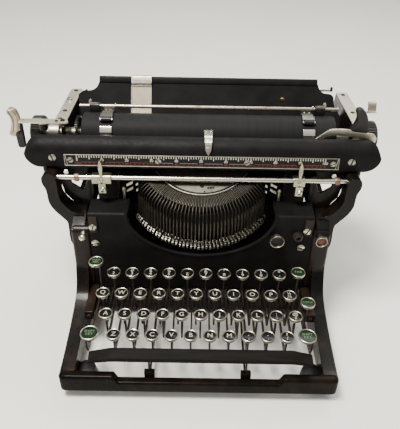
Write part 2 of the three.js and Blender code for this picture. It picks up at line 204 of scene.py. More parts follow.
def sweep(bm, points, section, closed=False, up=(0, 0, 1)):
    """Carries a section, a list of (sideways, upwards), along a line of points."""
    points = [Vector(p) for p in points]
    n = len(points)
    part = bmesh.new()
    rings = []
    for i, point in enumerate(points):
        before = points[i - 1] if i or closed else point
        after = points[(i + 1) % n] if i < n - 1 or closed else point
        ahead = (after - before).normalized()
        side = ahead.cross(Vector(up)).normalized()
        top = side.cross(ahead).normalized()
        rings.append([part.verts.new(point + side * u + top * v) for u, v in section])
    count = len(section)
    for i in range(n if closed else n - 1):
        r, s = rings[i], rings[(i + 1) % n]
        for k in range(count):
            m = (k + 1) % count
            part.faces.new((r[k], r[m], s[m], s[k]))
    if not closed:
        part.faces.new(rings[0])
        part.faces.new(rings[-1])
    bmesh.ops.recalc_face_normals(part, faces=part.faces[:])
    merge(bm, part)


def circle(radius, sides=12):
    """Points round a circle, for a section or a hole."""
    return [(radius * math.cos(2 * math.pi * i / sides), radius * math.sin(2 * math.pi * i / sides))
            for i in range(sides)]


def flat(half, thick):
    """The section of a strip, from half its width and half its thickness."""
    return [(-half, -thick), (half, -thick), (half, thick), (-half, thick)]


def screw(bm, x, y, z, axis="y", radius=3.4, height=1.4, slot=30, facing=-1, slot_fill=None):
    """A round-headed screw with a slot across it, facing along the axis; a second bmesh, when given,
    gets a plate that fills the bottom of the slot.
    """
    head = [(0, 0), (radius, 0), (radius, height * 0.35), (radius * 0.8, height * 0.85),
            (radius * 0.45, height), (0, height)]
    part = bmesh.new()
    lathe(part, [(r, h * facing) for r, h in head], (0, 0, 0), axis, 24)
    turn = math.radians(slot)
    c, s = math.cos(turn), math.sin(turn)
    half, wide = radius * 1.1, radius * 0.2
    corners = [(half, wide), (-half, wide), (-half, -wide), (half, -wide)]
    loop = [(u * c - v * s, u * s + v * c) for u, v in corners]
    cutter = bmesh.new()
    plate(cutter, axis, [loop], height * 0.55 * facing, height * 1.5 * facing)
    cut(part, cutter)
    bmesh.ops.translate(part, verts=part.verts[:], vec=Vector((x, y, z)))
    merge(bm, part)
    if slot_fill is not None:
        fill = bmesh.new()
        loop = [(u * 0.78, v * 0.96) for u, v in loop]
        plate(fill, axis, [loop], height * 0.5 * facing, height * 0.72 * facing)
        bmesh.ops.translate(fill, verts=fill.verts[:], vec=Vector((x, y, z)))
        merge(slot_fill, fill)


def cut(part, cutter):
    """Cuts one closed bmesh out of another."""
    objects = []
    for name, source in (("cut_body", part), ("cut_tool", cutter)):
        mesh = bpy.data.meshes.new(name)
        source.to_mesh(mesh)
        made = bpy.data.objects.new(name, mesh)
        bpy.context.scene.collection.objects.link(made)
        objects.append(made)
    body, tool = objects
    change = body.modifiers.new("cut", "BOOLEAN")
    change.object, change.operation, change.solver = tool, "DIFFERENCE", "EXACT"
    result = bpy.data.meshes.new_from_object(
        body.evaluated_get(bpy.context.evaluated_depsgraph_get()))
    part.clear()
    part.from_mesh(result)
    cutter.free()
    for made in objects:
        mesh = made.data
        bpy.data.objects.remove(made)
        bpy.data.meshes.remove(mesh)
    bpy.data.meshes.remove(result)


def scatter():
    """The matrix from machine millimetres to metres in the row frame."""
    return Matrix.Translation((SHIFT_X * MM, SHIFT_Y * MM, 0)) @ Matrix.Scale(MM, 4)


def add(name, bm, body, material, angle=38, replaces=()):
    """Makes an object of the millimetre mesh, riding on a body; edges over the angle stay sharp."""
    bmesh.ops.transform(bm, matrix=scatter(), verts=bm.verts[:])
    for face in bm.faces:
        face.smooth = True
    for edge in bm.edges:
        edge.smooth = edge.is_manifold and edge.calc_face_angle() < math.radians(angle)
    mesh = bpy.data.meshes.new(name)
    bm.to_mesh(mesh)
    bm.free()
    mesh.materials.append(material)
    made = bpy.data.objects.new(name, mesh)
    bpy.context.scene.collection.objects.link(made)
    weighted = made.modifiers.new("normals", "WEIGHTED_NORMAL")
    weighted.keep_sharp = True
    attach(made, body)
    if replaces:
        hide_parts(*replaces)
    return made


def screws(name, slots, body, material, places):
    """Screws facing forward, each (x, y, z, radius, height, turn), and a piece for their slots."""
    bm, slot_fill = bmesh.new(), bmesh.new()
    for x, y, z, radius, height, turn in places:
        screw(bm, x, y, z, "y", radius, height, turn, slot_fill=slot_fill)
    add(name, bm, body, material)
    # The slot fills are black, so each slot is darker at its bottom.
    add(slots, slot_fill, body, INNER_BLACK)


# ------------------------------------------------------------------ materials


class Nodes:
    """A material's node tree, with short calls for the nodes used here."""

    def __init__(self, name):
        self.material = bpy.data.materials.new(name)
        self.material.use_nodes = True
        self.tree = self.material.node_tree
        self.shader = self.tree.nodes["Principled BSDF"]
        self.place = self.new("ShaderNodeTexCoord").outputs["Object"]

    def new(self, kind, **inputs):
        node = self.tree.nodes.new(kind)
        for key, value in inputs.items():
            self.put(node.inputs[key.replace("_", " ")], value)
        return node

    def put(self, socket, value):
        if isinstance(value, bpy.types.NodeSocket):
            self.tree.links.new(value, socket)
        else:
            socket.default_value = value

    def noise(self, scale, detail=4.0, rough=0.55, stretch=None):
        place = self.place
        if stretch:
            mapping = self.new("ShaderNodeMapping", Vector=place)
            mapping.inputs["Scale"].default_value = stretch
            place = mapping.outputs["Vector"]
        node = self.new("ShaderNodeTexNoise", Vector=place, Scale=scale, Detail=detail,
                        Roughness=rough)
        return node.outputs["Fac"]

    def cells(self, scale):
        node = self.new("ShaderNodeTexVoronoi", Vector=self.place, Scale=scale)
        return node.outputs["Distance"]

    def ramp(self, factor, *stops):
        node = self.new("ShaderNodeValToRGB", Fac=factor)
        ramp = node.color_ramp
        while len(ramp.elements) < len(stops):
            ramp.elements.new(0.5)
        for element, (place, colour) in zip(ramp.elements, stops):
            element.position = place
            if isinstance(colour, (int, float)):
                colour = (colour, colour, colour)
            element.color = (*colour, 1)
        return node.outputs["Color"]

    def mix(self, factor, first, second):
        node = self.new("ShaderNodeMix")
        node.data_type = "RGBA"
        self.put(node.inputs[0], factor)
        for socket, value in ((node.inputs[6], first), (node.inputs[7], second)):
            self.put(socket, (*value, 1) if isinstance(value, tuple) else value)
        return node.outputs[2]

    def maths(self, operation, first, second):
        node = self.new("ShaderNodeMath")
        node.operation = operation
        self.put(node.inputs[0], first)
        self.put(node.inputs[1], second)
        return node.outputs[0]

    def bump(self, height, strength, distance):
        node = self.new("ShaderNodeBump", Height=height, Strength=strength, Distance=distance)
        self.put(self.shader.inputs["Normal"], node.outputs["Normal"])

    def edges(self, low, high):
        """1 on convex edges and 0 elsewhere."""
        point = self.new("ShaderNodeNewGeometry").outputs["Pointiness"]
        return self.ramp(point, (low, 0.0), (high, 1.0))

    def finish(self, colour, roughness, metallic=0.0, **rest):
        self.put(self.shader.inputs["Base Color"], colour)
        self.put(self.shader.inputs["Roughness"], roughness)
        self.put(self.shader.inputs["Metallic"], metallic)
        for key, value in rest.items():
            self.put(self.shader.inputs[key.replace("_", " ")], value)
        return self.material


def wrinkle_enamel():
    """Black enamel that dried into fine wrinkles, dusty in places."""
    m = Nodes("wrinkle_enamel")
    dust = m.noise(45, 5, 0.6)
    colour = m.ramp(dust, (0.35, (0.0048, 0.0046, 0.0048)), (0.7, (0.0095, 0.009, 0.0091)))
    rough = m.ramp(m.noise(300, 3), (0.3, 0.4), (0.7, 0.58))
    wrinkles = m.maths("ADD", m.cells(1100), m.noise(1500, 3, 0.6))
    m.bump(wrinkles, 0.3, 0.00025)
    return m.finish(colour, rough, Specular_IOR_Level=0.075)


def japan_black(name, gloss):
    """Black enamel on cast iron, rubbed brown where hands and tools reach it."""
    m = Nodes(name)
    patches = m.ramp(m.noise(38, 6, 0.65), (0.48, 0.0), (0.7, 1.0))
    colour = m.mix(patches, (0.0036, 0.003, 0.0027), (0.013, 0.0078, 0.0054))
    worn = m.maths("MULTIPLY", m.edges(0.54, 0.62), m.noise(90, 4, 0.6))
    colour = m.mix(worn, colour, (0.06, 0.036, 0.024))
    rough = m.ramp(m.noise(130, 4), (0.35, 0.26), (0.7, 0.44))
    m.bump(m.noise(420, 4, 0.6), 0.2, 0.0003)
    return m.finish(colour, rough, Coat_Weight=gloss, Coat_Roughness=0.12, Specular_IOR_Level=gloss)


def inner_black():
    """Dull, dusty black of the inside of the machine."""
    m = Nodes("inner_black")
    dust = m.noise(60, 5, 0.6)
    colour = m.ramp(dust, (0.35, (0.0035, 0.0032, 0.003)), (0.75, (0.011, 0.0085, 0.0065)))
    rough = m.ramp(m.noise(200, 3), (0.3, 0.5), (0.7, 0.8))
    m.bump(m.noise(500, 3), 0.2, 0.0003)
    return m.finish(colour, rough, Specular_IOR_Level=0.25)


def nickel(name, tint, shine, rust=0.0):
    """Old plate or steel of a tint, with dull clouds and small pits, rusty where rust is above 0."""
    m = Nodes(name)
    clouds = m.noise(120, 5, 0.6)
    dull = tuple(c * 0.72 for c in tint)
    colour = m.ramp(clouds, (0.35, tint), (0.72, dull))
    pits = m.ramp(m.noise(1300, 3, 0.7), (0.66, 0.0), (0.74, 1.0))
    colour = m.mix(m.maths("MULTIPLY", pits, 0.6), colour, (0.1, 0.07, 0.045))
    rough = m.ramp(clouds, (0.3, shine), (0.75, shine + 0.2))
    metal = 1.0
    if rust:
        stains = m.ramp(m.noise(75, 6, 0.7), (0.62 - rust, 0.0), (0.72 - rust, 1.0))
        colour = m.mix(stains, colour, (0.2, 0.09, 0.045))
        metal = m.ramp(stains, (0.0, 1.0), (1.0, 0.25))
    m.bump(m.noise(700, 4, 0.6), 0.12, 0.0002)
    return m.finish(colour, rough, metal)


def bar_steel():
    """Type bar steel: dark and oily, in uneven patches."""
    m = Nodes("bar_steel")
    colour = m.ramp(m.noise(160, 5, 0.6), (0.3, (0.26, 0.24, 0.195)), (0.7, (0.13, 0.115, 0.09)))
    m.bump(m.noise(900, 3), 0.15, 0.0002)
    return m.finish(colour, m.ramp(m.noise(300, 3), (0.3, 0.34), (0.7, 0.52)), 0.85)


def lever_steel():
    """Key levers and stems: brown-black oxidised steel."""
    m = Nodes("lever_steel")
    stains = m.noise(140, 5, 0.65)
    colour = m.ramp(stains, (0.35, (0.012, 0.0085, 0.0075)), (0.72, (0.04, 0.025, 0.018)))
    m.bump(m.noise(800, 3), 0.15, 0.0002)
    return m.finish(colour, m.ramp(m.noise(250, 3), (0.3, 0.35), (0.7, 0.6)), 0.4)


def platen_rubber():
    """Hard dark rubber, polished in rings by use."""
    m = Nodes("platen_rubber")
    rings = m.noise(60, 4, 0.6, stretch=(6, 0.4, 0.4))
    colour = m.ramp(rings, (0.3, (0.008, 0.0083, 0.0088)), (0.7, (0.014, 0.0145, 0.0152)))
    m.bump(m.noise(600, 4, 0.6), 0.12, 0.0002)
    return m.finish(colour, m.ramp(rings, (0.3, 0.5), (0.7, 0.64)), Specular_IOR_Level=0.07)


def hard_rubber():
    """Turned black hard rubber of the knobs."""
    m = Nodes("hard_rubber")
    colour = m.ramp(m.noise(100, 4), (0.3, (0.007, 0.007, 0.0075)), (0.75, (0.016, 0.0155, 0.0155)))
    m.bump(m.noise(500, 3), 0.15, 0.0002)
    return m.finish(colour, m.ramp(m.noise(160, 3), (0.3, 0.28), (0.7, 0.48)), Specular_IOR_Level=0.3)


def key_glass(name, tint):
    """Paper disc under glass: deep colour with a thin gloss."""
    m = Nodes(name)
    colour = m.ramp(m.noise(500, 4, 0.6), (0.3, tint), (0.8, tuple(c * 1.7 for c in tint)))
    return m.finish(colour, 0.25, Coat_Weight=0.12, Coat_Roughness=0.05, Specular_IOR_Level=0.15)


def paint(name, colour, roughness=0.5, gloss=0.3):
    """Flat ink or paint with slight fading."""
    m = Nodes(name)
    faded = tuple(c * 0.75 for c in colour)
    tone = m.ramp(m.noise(700, 4, 0.6), (0.3, colour), (0.75, faded))
    return m.finish(tone, roughness, Specular_IOR_Level=gloss)


def lacquered_wood():
    """Black lacquer over wood, rubbed through to bare wood at one place on the front."""
    m = Nodes("lacquered_wood")
    grain = m.noise(30, 5, 0.6, stretch=(1, 12, 12))
    black = m.ramp(grain, (0.3, (0.0055, 0.0052, 0.0052)), (0.75, (0.012, 0.0105, 0.0095)))
    wood = m.ramp(grain, (0.3, (0.3, 0.12, 0.04)), (0.75, (0.5, 0.24, 0.09)))
    split = m.new("ShaderNodeSeparateXYZ", Vector=m.place)
    along = m.ramp(split.outputs[0], (0.0, 0.0), (0.018, 1.0), (0.03, 1.0), (0.04, 0.0))
    front = m.ramp(m.maths("ADD", split.outputs[1], 0.17), (0.0035, 0.0), (0.0045, 1.0),
                   (0.0052, 1.0), (0.0066, 0.0))
    bare = m.maths("MULTIPLY", m.maths("MULTIPLY", along, front), m.noise(300, 4, 0.7))
    mask = m.ramp(bare, (0.28, 0.0), (0.42, 1.0))
    rough = m.ramp(mask, (0.0, 0.55), (1.0, 0.7))
    m.bump(m.noise(500, 3), 0.15, 0.0002)
    return m.finish(m.mix(mask, black, wood), rough, Specular_IOR_Level=0.03)


def pale_floor():
    """Plain floor with a faint change of tone."""
    m = Nodes("pale_floor")
    colour = m.ramp(m.noise(3, 3), (0.3, (0.87, 0.86, 0.81)), (0.7, (0.91, 0.9, 0.85)))
    return m.finish(colour, 0.75)


WRINKLE = wrinkle_enamel()
JAPAN = japan_black("japan_black", 0.1)
JAPAN_DULL = japan_black("japan_dull", 0.03)
INNER_BLACK = inner_black()
NICKEL = nickel("nickel", (0.68, 0.64, 0.54), 0.2)
NICKEL_DULL = nickel("nickel_dull", (0.42, 0.4, 0.33), 0.32)
NICKEL_RUSTY = nickel("nickel_rusty", (0.5, 0.45, 0.38), 0.22, rust=0.08)
NICKEL_RING = nickel("nickel_ring", (0.4, 0.375, 0.3), 0.24)
FLANGE_NICKEL = nickel("flange_nickel", (0.72, 0.68, 0.54), 0.36)
NICKEL_BRIGHT = nickel("nickel_bright", (0.78, 0.75, 0.66), 0.16)
BAR_STEEL = bar_steel()
LEVER_STEEL = lever_steel()
PLATEN_RUBBER = platen_rubber()
HARD_RUBBER = hard_rubber()
BLACK_GLASS = key_glass("black_glass", (0.004, 0.004, 0.0045))
GREEN_GLASS = key_glass("green_glass", (0.0035, 0.014, 0.0055))
CREAM = paint("cream_ink", (0.5, 0.47, 0.38))
KEY_INK = paint("key_ink", (0.4, 0.38, 0.3))
GREEN_INK = paint("green_ink", (0.11, 0.15, 0.09))
WHITE = paint("white_ink", (0.62, 0.59, 0.5))
SCALE_RED = paint("red_ink", (0.13, 0.024, 0.021))
SCALE_GREY = paint("grey_ink", (0.16, 0.155, 0.145))
SCALE_BLACK = paint("scale_black", (0.006, 0.006, 0.0065), 0.4, gloss=0.15)
PLATE_GREY = nickel("plate_grey", (0.17, 0.165, 0.14), 0.45)
CLIP_GREY = nickel("clip_grey", (0.15, 0.145, 0.13), 0.34)
FRAME_GREY = nickel("frame_grey", (0.3, 0.285, 0.24), 0.4)
# Darker copy of the bar steel, used on the bar heels as painted shade.
BAR_SHADED = nickel("bar_steel_shaded", (0.05, 0.046, 0.038), 0.5)
RED_BUTTON = paint("red_button", (0.15, 0.045, 0.032), 0.35)
DARK_STEEL = nickel("dark_steel", (0.06, 0.06, 0.06), 0.4)
NICKEL_BEIGE = nickel("nickel_beige", (0.5, 0.43, 0.33), 0.34)
FIN_STEEL = nickel("fin_steel", (0.075, 0.07, 0.058), 0.45)
RUSTY_STEEL = nickel("rusty_steel", (0.26, 0.19, 0.14), 0.4, rust=0.05)
STOP_NICKEL = nickel("stop_nickel", (0.42, 0.39, 0.29), 0.28)
BRASS = nickel("old_brass", (0.5, 0.36, 0.18), 0.35)
WOOD = lacquered_wood()


def letters(bm, text, size, place, tilt=0, thick=0.08, bold=0.03):
    """Raised letters lying at a place; tilt leans them up from lying flat, in degrees."""
    curve = bpy.data.curves.new("letters", "FONT")
    curve.body, curve.size, curve.extrude, curve.offset = text, size, thick, bold
    curve.align_x, curve.align_y, curve.space_line = "CENTER", "CENTER", 0.82
    curve.resolution_u = 3
    made = bpy.data.objects.new("letters", curve)
    mesh = bpy.data.meshes.new_from_object(made)
    mesh.transform(Matrix.Translation(place) @ Matrix.Rotation(math.radians(tilt), 4, "X"))
    bm.from_mesh(mesh)
    bpy.data.meshes.remove(mesh)
    bpy.data.objects.remove(made)
    bpy.data.curves.remove(curve)


# ------------------------------------------------------------------ base and body

# Outlines of the left post and web, seen from the front, and of the side casting and its window.
POST = [
    (-124, 88), (-138, 88), (-144.4, 96), (-144.4, 119), (-147.2, 125.5), (-155.8, 136),
    (-161, 147), (-161.8, 162), (-164.6, 170), (-164.6, 177), (-161, 181), (-154, 181), (-150.4, 177),
    (-149.6, 164), (-148.6, 150), (-138, 136), (-124, 128),
]
SIDE = [
    (3, 10), (345, 10), (345, 140), (333, 150), (222, 150), (204, 140), (150, 136), (134, 130),
    (118.5, 122), (117.5, 78), (107, 54), (92, 44), (60, 36), (16, 30), (3, 30),
]
WINDOW = [
    (168, 54), (172, 47), (180, 44), (296, 44), (305, 47), (310, 54), (310, 118), (306, 125),
    (298, 128), (178, 124), (171, 121), (168, 114),
]
WEB = [
    (-151, 172), (-138.6, 172), (-138, 162.4), (-127.6, 154.6), (-125.4, 155.6), (-121.4, 165.9),
    (-119, 175), (-115, 175), (-115, 142), (-124, 128), (-137, 136.5), (-147, 149.5),
]


def flipped(outline):
    """The same outline on the right side of the machine."""
    return [(-u, v) for u, v in reversed(outline)]


def front_rail():
    """Low bar across the front that rises in a short S curve to a block at each corner."""
    bm = bmesh.new()
    bend = [-86 + i * 0.9 for i in range(8)]
    stations = [-OUTER, -137.4, -136, -133.5, -130, -92, *bend, -60, -20]
    stations += [-x for x in reversed(stations)]
    outlines = []
    for x in stations:
        rise = min(max((abs(x) - 79.7) / 5.4, 0), 1)
        rise = rise * rise * (3 - 2 * rise)
        top, back = 24 + 7.5 * rise, 9 + rise
        inset = 4 - math.sqrt(max(16 - max(abs(x) - 134, 0) ** 2, 0))
        low, high, near, far = BASE_BOTTOM + inset, top - inset, inset, back - inset * 0.4
        r = 2.6 + 0.8 * rise
        ring = []
        for cy, cz, start, size in ((near + r, high - r, 180, r), (far - r, high - r, 90, r),
                                    (far - 1.6, low + 1.6, 0, 1.6), (near + 1.8, low + 1.8, -90, 1.8)):
            ring += arc(cy, cz, size, start, start - 90, 4)
        outlines.append([(x, y, z) for y, z in ring])
    skin(bm, outlines)
    add("front_rail", bm, "frame", JAPAN_DULL, replaces=("main_frame",))


def side_castings():
    """Rail, body side and window of each side in one casting, with a rib round the window."""
    for side, name in ((-1, "left"), (1, "right")):
        bm = bmesh.new()
        outer = SIDE[:9] + smooth(SIDE[9:], 3, False)
        window = smooth(WINDOW, 2)
        plate(bm, "x", [outer, window], *mirrored(side, INNER, OUTER), 3.2, 3)
        add(f"side_casting_{name}", bm, "frame", JAPAN)
        bm = bmesh.new()
        rib = [(side * (OUTER - 1.2), y, z) for y, z in smooth([
            (164, 52), (170, 43), (180, 39.5), (297, 39.5), (308, 43), (314.5, 53), (314.5, 120),
            (309, 129.5), (298, 132.5), (177, 128.5), (168, 124.5), (163.6, 115)], 3)]
        sweep(bm, rib, circle(2.6, 10), closed=True, up=(1, 0, 0))
        add(f"window_rib_{name}", bm, "frame", JAPAN)


def front_columns():
    """Each side's column, curved post with its web, bracket for the rail cover, and inner cheek."""
    for side, name in ((-1, "left"), (1, "right")):
        bm = bmesh.new()
        column = [(116.5, 50), (119, 46), (134, 46), (134, 122), (130, 126), (120, 124), (116.5, 119)]
        plate(bm, "x", [column], *mirrored(side, 118, OUTER), 3, 3)
        add(f"column_{name}", bm, "frame", JAPAN)
        bm = bmesh.new()
        outline = smooth(POST, 3) if side < 0 else flipped(smooth(POST, 3))
        plate(bm, "y", [outline], 133, 151, 4.2, 3)
        slab(bm, *mirrored(side, 151, 167), 150, 158, 170, 206, 2)
        add(f"bracket_{name}", bm, "frame", JAPAN)
        bm = bmesh.new()
        plate(bm, "y", [WEB if side < 0 else flipped(WEB)], 148.2, 150.8, 0.6)
        slab(bm, *mirrored(side, 108.6, 117.4), 114.8, 118, 121, 141.4, 0.9)
        slab(bm, *mirrored(side, 114.6, 125), 74, 119, 34, 46, 1.6)
        rod(bm, 2.2, 71.6, 75, (side * 119.4, 0, 40.5), "y", 6)
        add(f"bracket_web_{name}", bm, "frame", JAPAN)
        bm = bmesh.new()
        cheek = [(148, 128), (214, 128), (214, 168), (172, 170), (168, 176), (148, 176)]
        plate(bm, "x", [cheek], *mirrored(side, 118, 121), 0.8)
        add(f"inner_cheek_{name}", bm, "frame", INNER_BLACK)


def apron():
    """Front plate, bent back at the top into a shelf, with the round mouth of the type basket."""
    bm = bmesh.new()
    outer = [(147, APRON_TOP), *arc(APRON_Y + 4, APRON_TOP - 4, 4, 90, 180, 5), (APRON_Y, 43)]
    inner = [(APRON_Y + 2.4, 43), *arc(APRON_Y + 4, APRON_TOP - 4, 1.6, 180, 90, 3),
             (147, APRON_TOP - 2.4)]
    plate(bm, "x", [outer + inner], -118.5, 118.5, 0.5, 1)
    mouth = bmesh.new()
    plate(mouth, "y", [arc(0, MOUTH_Z, MOUTH_WIDE, 0, 360, 95, MOUTH_HIGH)[:-1]], 90, 170)
    cut(bm, mouth)
    for x, z, radius in ((79.9, 119.5, 3), (102.6, 120.5, 2.4)):
        hole = bmesh.new()
        rod(hole, radius, 100, 140, (x, 0, z), "y", 20, 0)
        cut(bm, hole)
    add("apron", bm, "frame", WRINKLE)
    bm = bmesh.new()
    rim = arc(0, MOUTH_Z, MOUTH_WIDE + 1.6, -178.5, -1.5, 60, MOUTH_HIGH + 1.6)
    lip = [(x, APRON_Y + 0.6, z) for x, z in rim]
    lip = [(lip[0][0], 146, APRON_TOP - 0.4), (lip[0][0], 122, APRON_TOP - 0.4), *lip,
           (lip[-1][0], 122, APRON_TOP - 0.4), (lip[-1][0], 146, APRON_TOP - 0.4)]
    sweep(bm, lip, circle(1.7, 10), up=(0, 1, 0.001))
    add("mouth_lip", bm, "frame", WRINKLE)


def from_apron(bm, profile, x, z):
    """Turns a profile of (radius, distance out from the apron) round a line that faces forward."""
    lathe(bm, [(r, APRON_Y - out) for r, out in profile], (x, 0, z), "y", 28)


def apron_details():
    """Four screws, the push knob at the left and the dark stud at the right."""
    screws("apron_screws", "apron_screw_slots", "frame", NICKEL, [
        (-113.6, 114.9, 128.6, 4.1, 1.8, 65), (111.4, 114.9, 127.6, 4.1, 1.8, 55),
        (107.8, APRON_Y, 104.5, 4.1, 1.8, -20), (-113.2, APRON_Y, 106.5, 4.1, 1.8, 10)])
    bm = bmesh.new()
    ball = [(3.9 * math.cos(math.radians(a)), 6.4 + 3.9 * math.sin(math.radians(a)))
            for a in range(-50, 91, 14)]
    from_apron(bm, [(0, -1), (3.7, -1), (3.7, 0.6), *ball[:-1], (0, 10.3)], -124.6, 118.6)
    add("push_knob_left", bm, "frame", NICKEL)
    bm = bmesh.new()
    from_apron(bm, [(0, -1), (5.4, -1), (5.4, 2.4), (4.2, 3.2), (4.2, 5.6), (3.2, 6.2), (2.2, 5.6),
                    (2.0, 3.4), (0, 3.2)], 102.6, 120.5)
    add("stud_right", bm, "frame", LEVER_STEEL)


def lower_body():
    """Comb that the key levers pass through, shafts, back casting, rails, inner plates and feet."""
    bm = bmesh.new()
    notches = []
    for x in SPACE_ARMS:
        notches += [(x - 4, BASE_BOTTOM), (x - 4, 21.5), (x + 4, 21.5), (x + 4, BASE_BOTTOM)]
    outline = [(-126, BASE_BOTTOM), *notches, (126, BASE_BOTTOM), (126, 24), (-126, 24)]
    plate(bm, "y", [outline], APRON_Y, APRON_Y + 4, 0.8)
    for k in range(-1, 42):
        x = FIRST_LEVER_X + (k + 0.5) * LEVER_PITCH
        plate(bm, "y", [[(x - 0.9, 23), (x + 0.9, 23), (x + 0.9, 44), (x - 0.9, 44)]],
              APRON_Y + 0.6, APRON_Y + 3.2)
    for x0, x1 in ((-124, -115), (-110, -106), (104.5, 110), (115, 124)):
        slab(bm, x0, x1, APRON_Y + 0.6, APRON_Y + 3.2, 23, 46, 0.3)
    add("lever_comb", bm, "frame", INNER_BLACK)
    bm = bmesh.new()
    rod(bm, 3, -126, 126, (0, SHAFT_Y, SHAFT_Z))
    rod(bm, 3, -126, 126, (0, SPACE_SHAFT_Y, SPACE_SHAFT_Z))
    add("shafts", bm, "frame", NICKEL_DULL)
    bm = bmesh.new()
    back = [(-125, BASE_BOTTOM), (125, BASE_BOTTOM), (125, 148), (-125, 148)]
    opening = smooth([(-118, 52), (-112, 46), (112, 46), (118, 52), (118, 114), (112, 122),
                      (-112, 122), (-118, 114)], 2)
    plate(bm, "y", [back, opening], BASE_BACK - 10, BASE_BACK, 2.4, 2)
    add("back_casting", bm, "frame", JAPAN)
    bm = bmesh.new()
    for y in (224, 268):
        slab(bm, -126, 126, y, y + 8, 148, 158, 0.8)
    for side in (-1, 1):
        slab(bm, *mirrored(side, 115, 134), 224, 276, 140, 157, 1.5)
    add("rail_beams", bm, "frame", JAPAN)
    bm = bmesh.new()
    for y in (228, 272):
        rod(bm, 3.2, -134, 134, (0, y, 156.8), "x", 20)
    add("carriage_rails", bm, "frame", NICKEL_DULL)
    bm = bmesh.new()
    slab(bm, -126, 126, 212, 216, 44, 168, 0.8)
    # The tray at z 43 to 45 under the key levers is a dark sheet that stands in for painted shade
    # between the keys.
    slab(bm, -126, 126, 120, 213, 43, 45, 0.4)
    add("inner_plates", bm, "frame", INNER_BLACK)
    bm = bmesh.new()
    for x in (-117, 117):
        for y in (28, 318):
            lathe(bm, [(0, 0), (9.6, 0), (11, 1.5), (10.4, 9), (9.4, 12.5), (6, 13.5), (0, 13.5)],
                  (x, y, 0), "z", 28)
    add("feet", bm, "frame", HARD_RUBBER)


def rear_works():
    """Mainspring drum, bell, and the rack between the carriage rails."""
    bm = bmesh.new()
    drum = [(0, 284), (17, 284), (19, 286), (19, 300), (17.5, 302), (8, 302), (7, 303.5), (0, 303.5)]
    lathe(bm, drum, (-92, 0, 134), "y", 36)
    slab(bm, -97, -87, 276, 284, 128, 140, 1)
    add("spring_drum", bm, "frame", NICKEL_DULL)
    bm = bmesh.new()
    lathe(bm, [(2, 286), (9, 286.5), (15, 289), (18, 294), (18.6, 299), (17.6, 299), (16.8, 294.6),
               (13.8, 290.4), (8.4, 288), (2, 287.4)], (88, 0, 136), "y", 36)
    rod(bm, 2, 276, 292, (88, 0, 136), "y", 16)
    add("bell", bm, "frame", BRASS)
    bm = bmesh.new()
    for k in range(60):
        x = -112 + k * 3.8
        slab(bm, x, x + 1.6, 249, 252, 150, 157, 0)
    slab(bm, -116, 118, 248.6, 252.4, 146, 150.5, 0.6)
    add("escape_rack", bm, "frame", BAR_STEEL)


# ------------------------------------------------------------------ type basket


def fan(r, h, angle):
    """A machine point from its distance, height and angle about the tipped basket axis."""
    out = Vector((0, -math.cos(BASKET_TILT), -math.sin(BASKET_TILT)))
    up = Vector((0, -math.sin(BASKET_TILT), math.cos(BASKET_TILT)))
    centre = Vector((0, BASKET_Y, BASKET_Z))
    return centre + Vector((r * math.sin(angle), 0, 0)) + out * (r * math.cos(angle)) + up * h


def fan_blade(bm, outline, angle, thick):
    """A thin plate standing on a radius of the basket; the outline is (distance, height)."""
    side = Vector((1, 0, 0)) * math.cos(angle) + (fan(1, 0, 0) - fan(0, 0, 0)) * -math.sin(angle)
    a = [bm.verts.new(fan(r, h, angle) - side * thick / 2) for r, h in outline]
    b = [bm.verts.new(fan(r, h, angle) + side * thick / 2) for r, h in outline]
    bm.faces.new(a)
    bm.faces.new(list(reversed(b)))
    for i in range(len(outline)):
        k = (i + 1) % len(outline)
        bm.faces.new((a[k], a[i], b[i], b[k]))


def fan_ring(bm, outline, reach, steps=48):
    """A section in (distance, height) carried round the basket axis."""
    angles = [-reach + 2 * reach * s / steps for s in range(steps + 1)]
    skin(bm, [[fan(r, h, angle) for r, h in outline] for angle in angles])


def bar_angles():
    """The angle of each type bar, in radians, from the left."""
    first = -(BAR_COUNT - 1) / 2
    return [(first + k) * BAR_STEP for k in range(BAR_COUNT)]


def fan_disc(bm, r, degrees, h, size):
    """A small flat disc lying on the fan."""
    part = bmesh.new()
    lathe(part, [(0, 0.12), (size, 0.1), (size, -0.2), (0, -0.2)], (0, 0, 0), "z", 16)
    place = Matrix.Translation(fan(r, h, math.radians(degrees)))
    turn = place @ Matrix.Rotation(BASKET_TILT, 4, "X")
    bmesh.ops.transform(part, matrix=turn, verts=part.verts[:])
    merge(bm, part)


def fan_piece(name, bm, material, replaces=()):
    """Adds a basket piece to the frame, with its faces turned outwards."""
    bmesh.ops.recalc_face_normals(bm, faces=bm.faces[:])
    add(name, bm, "frame", material, replaces=replaces)


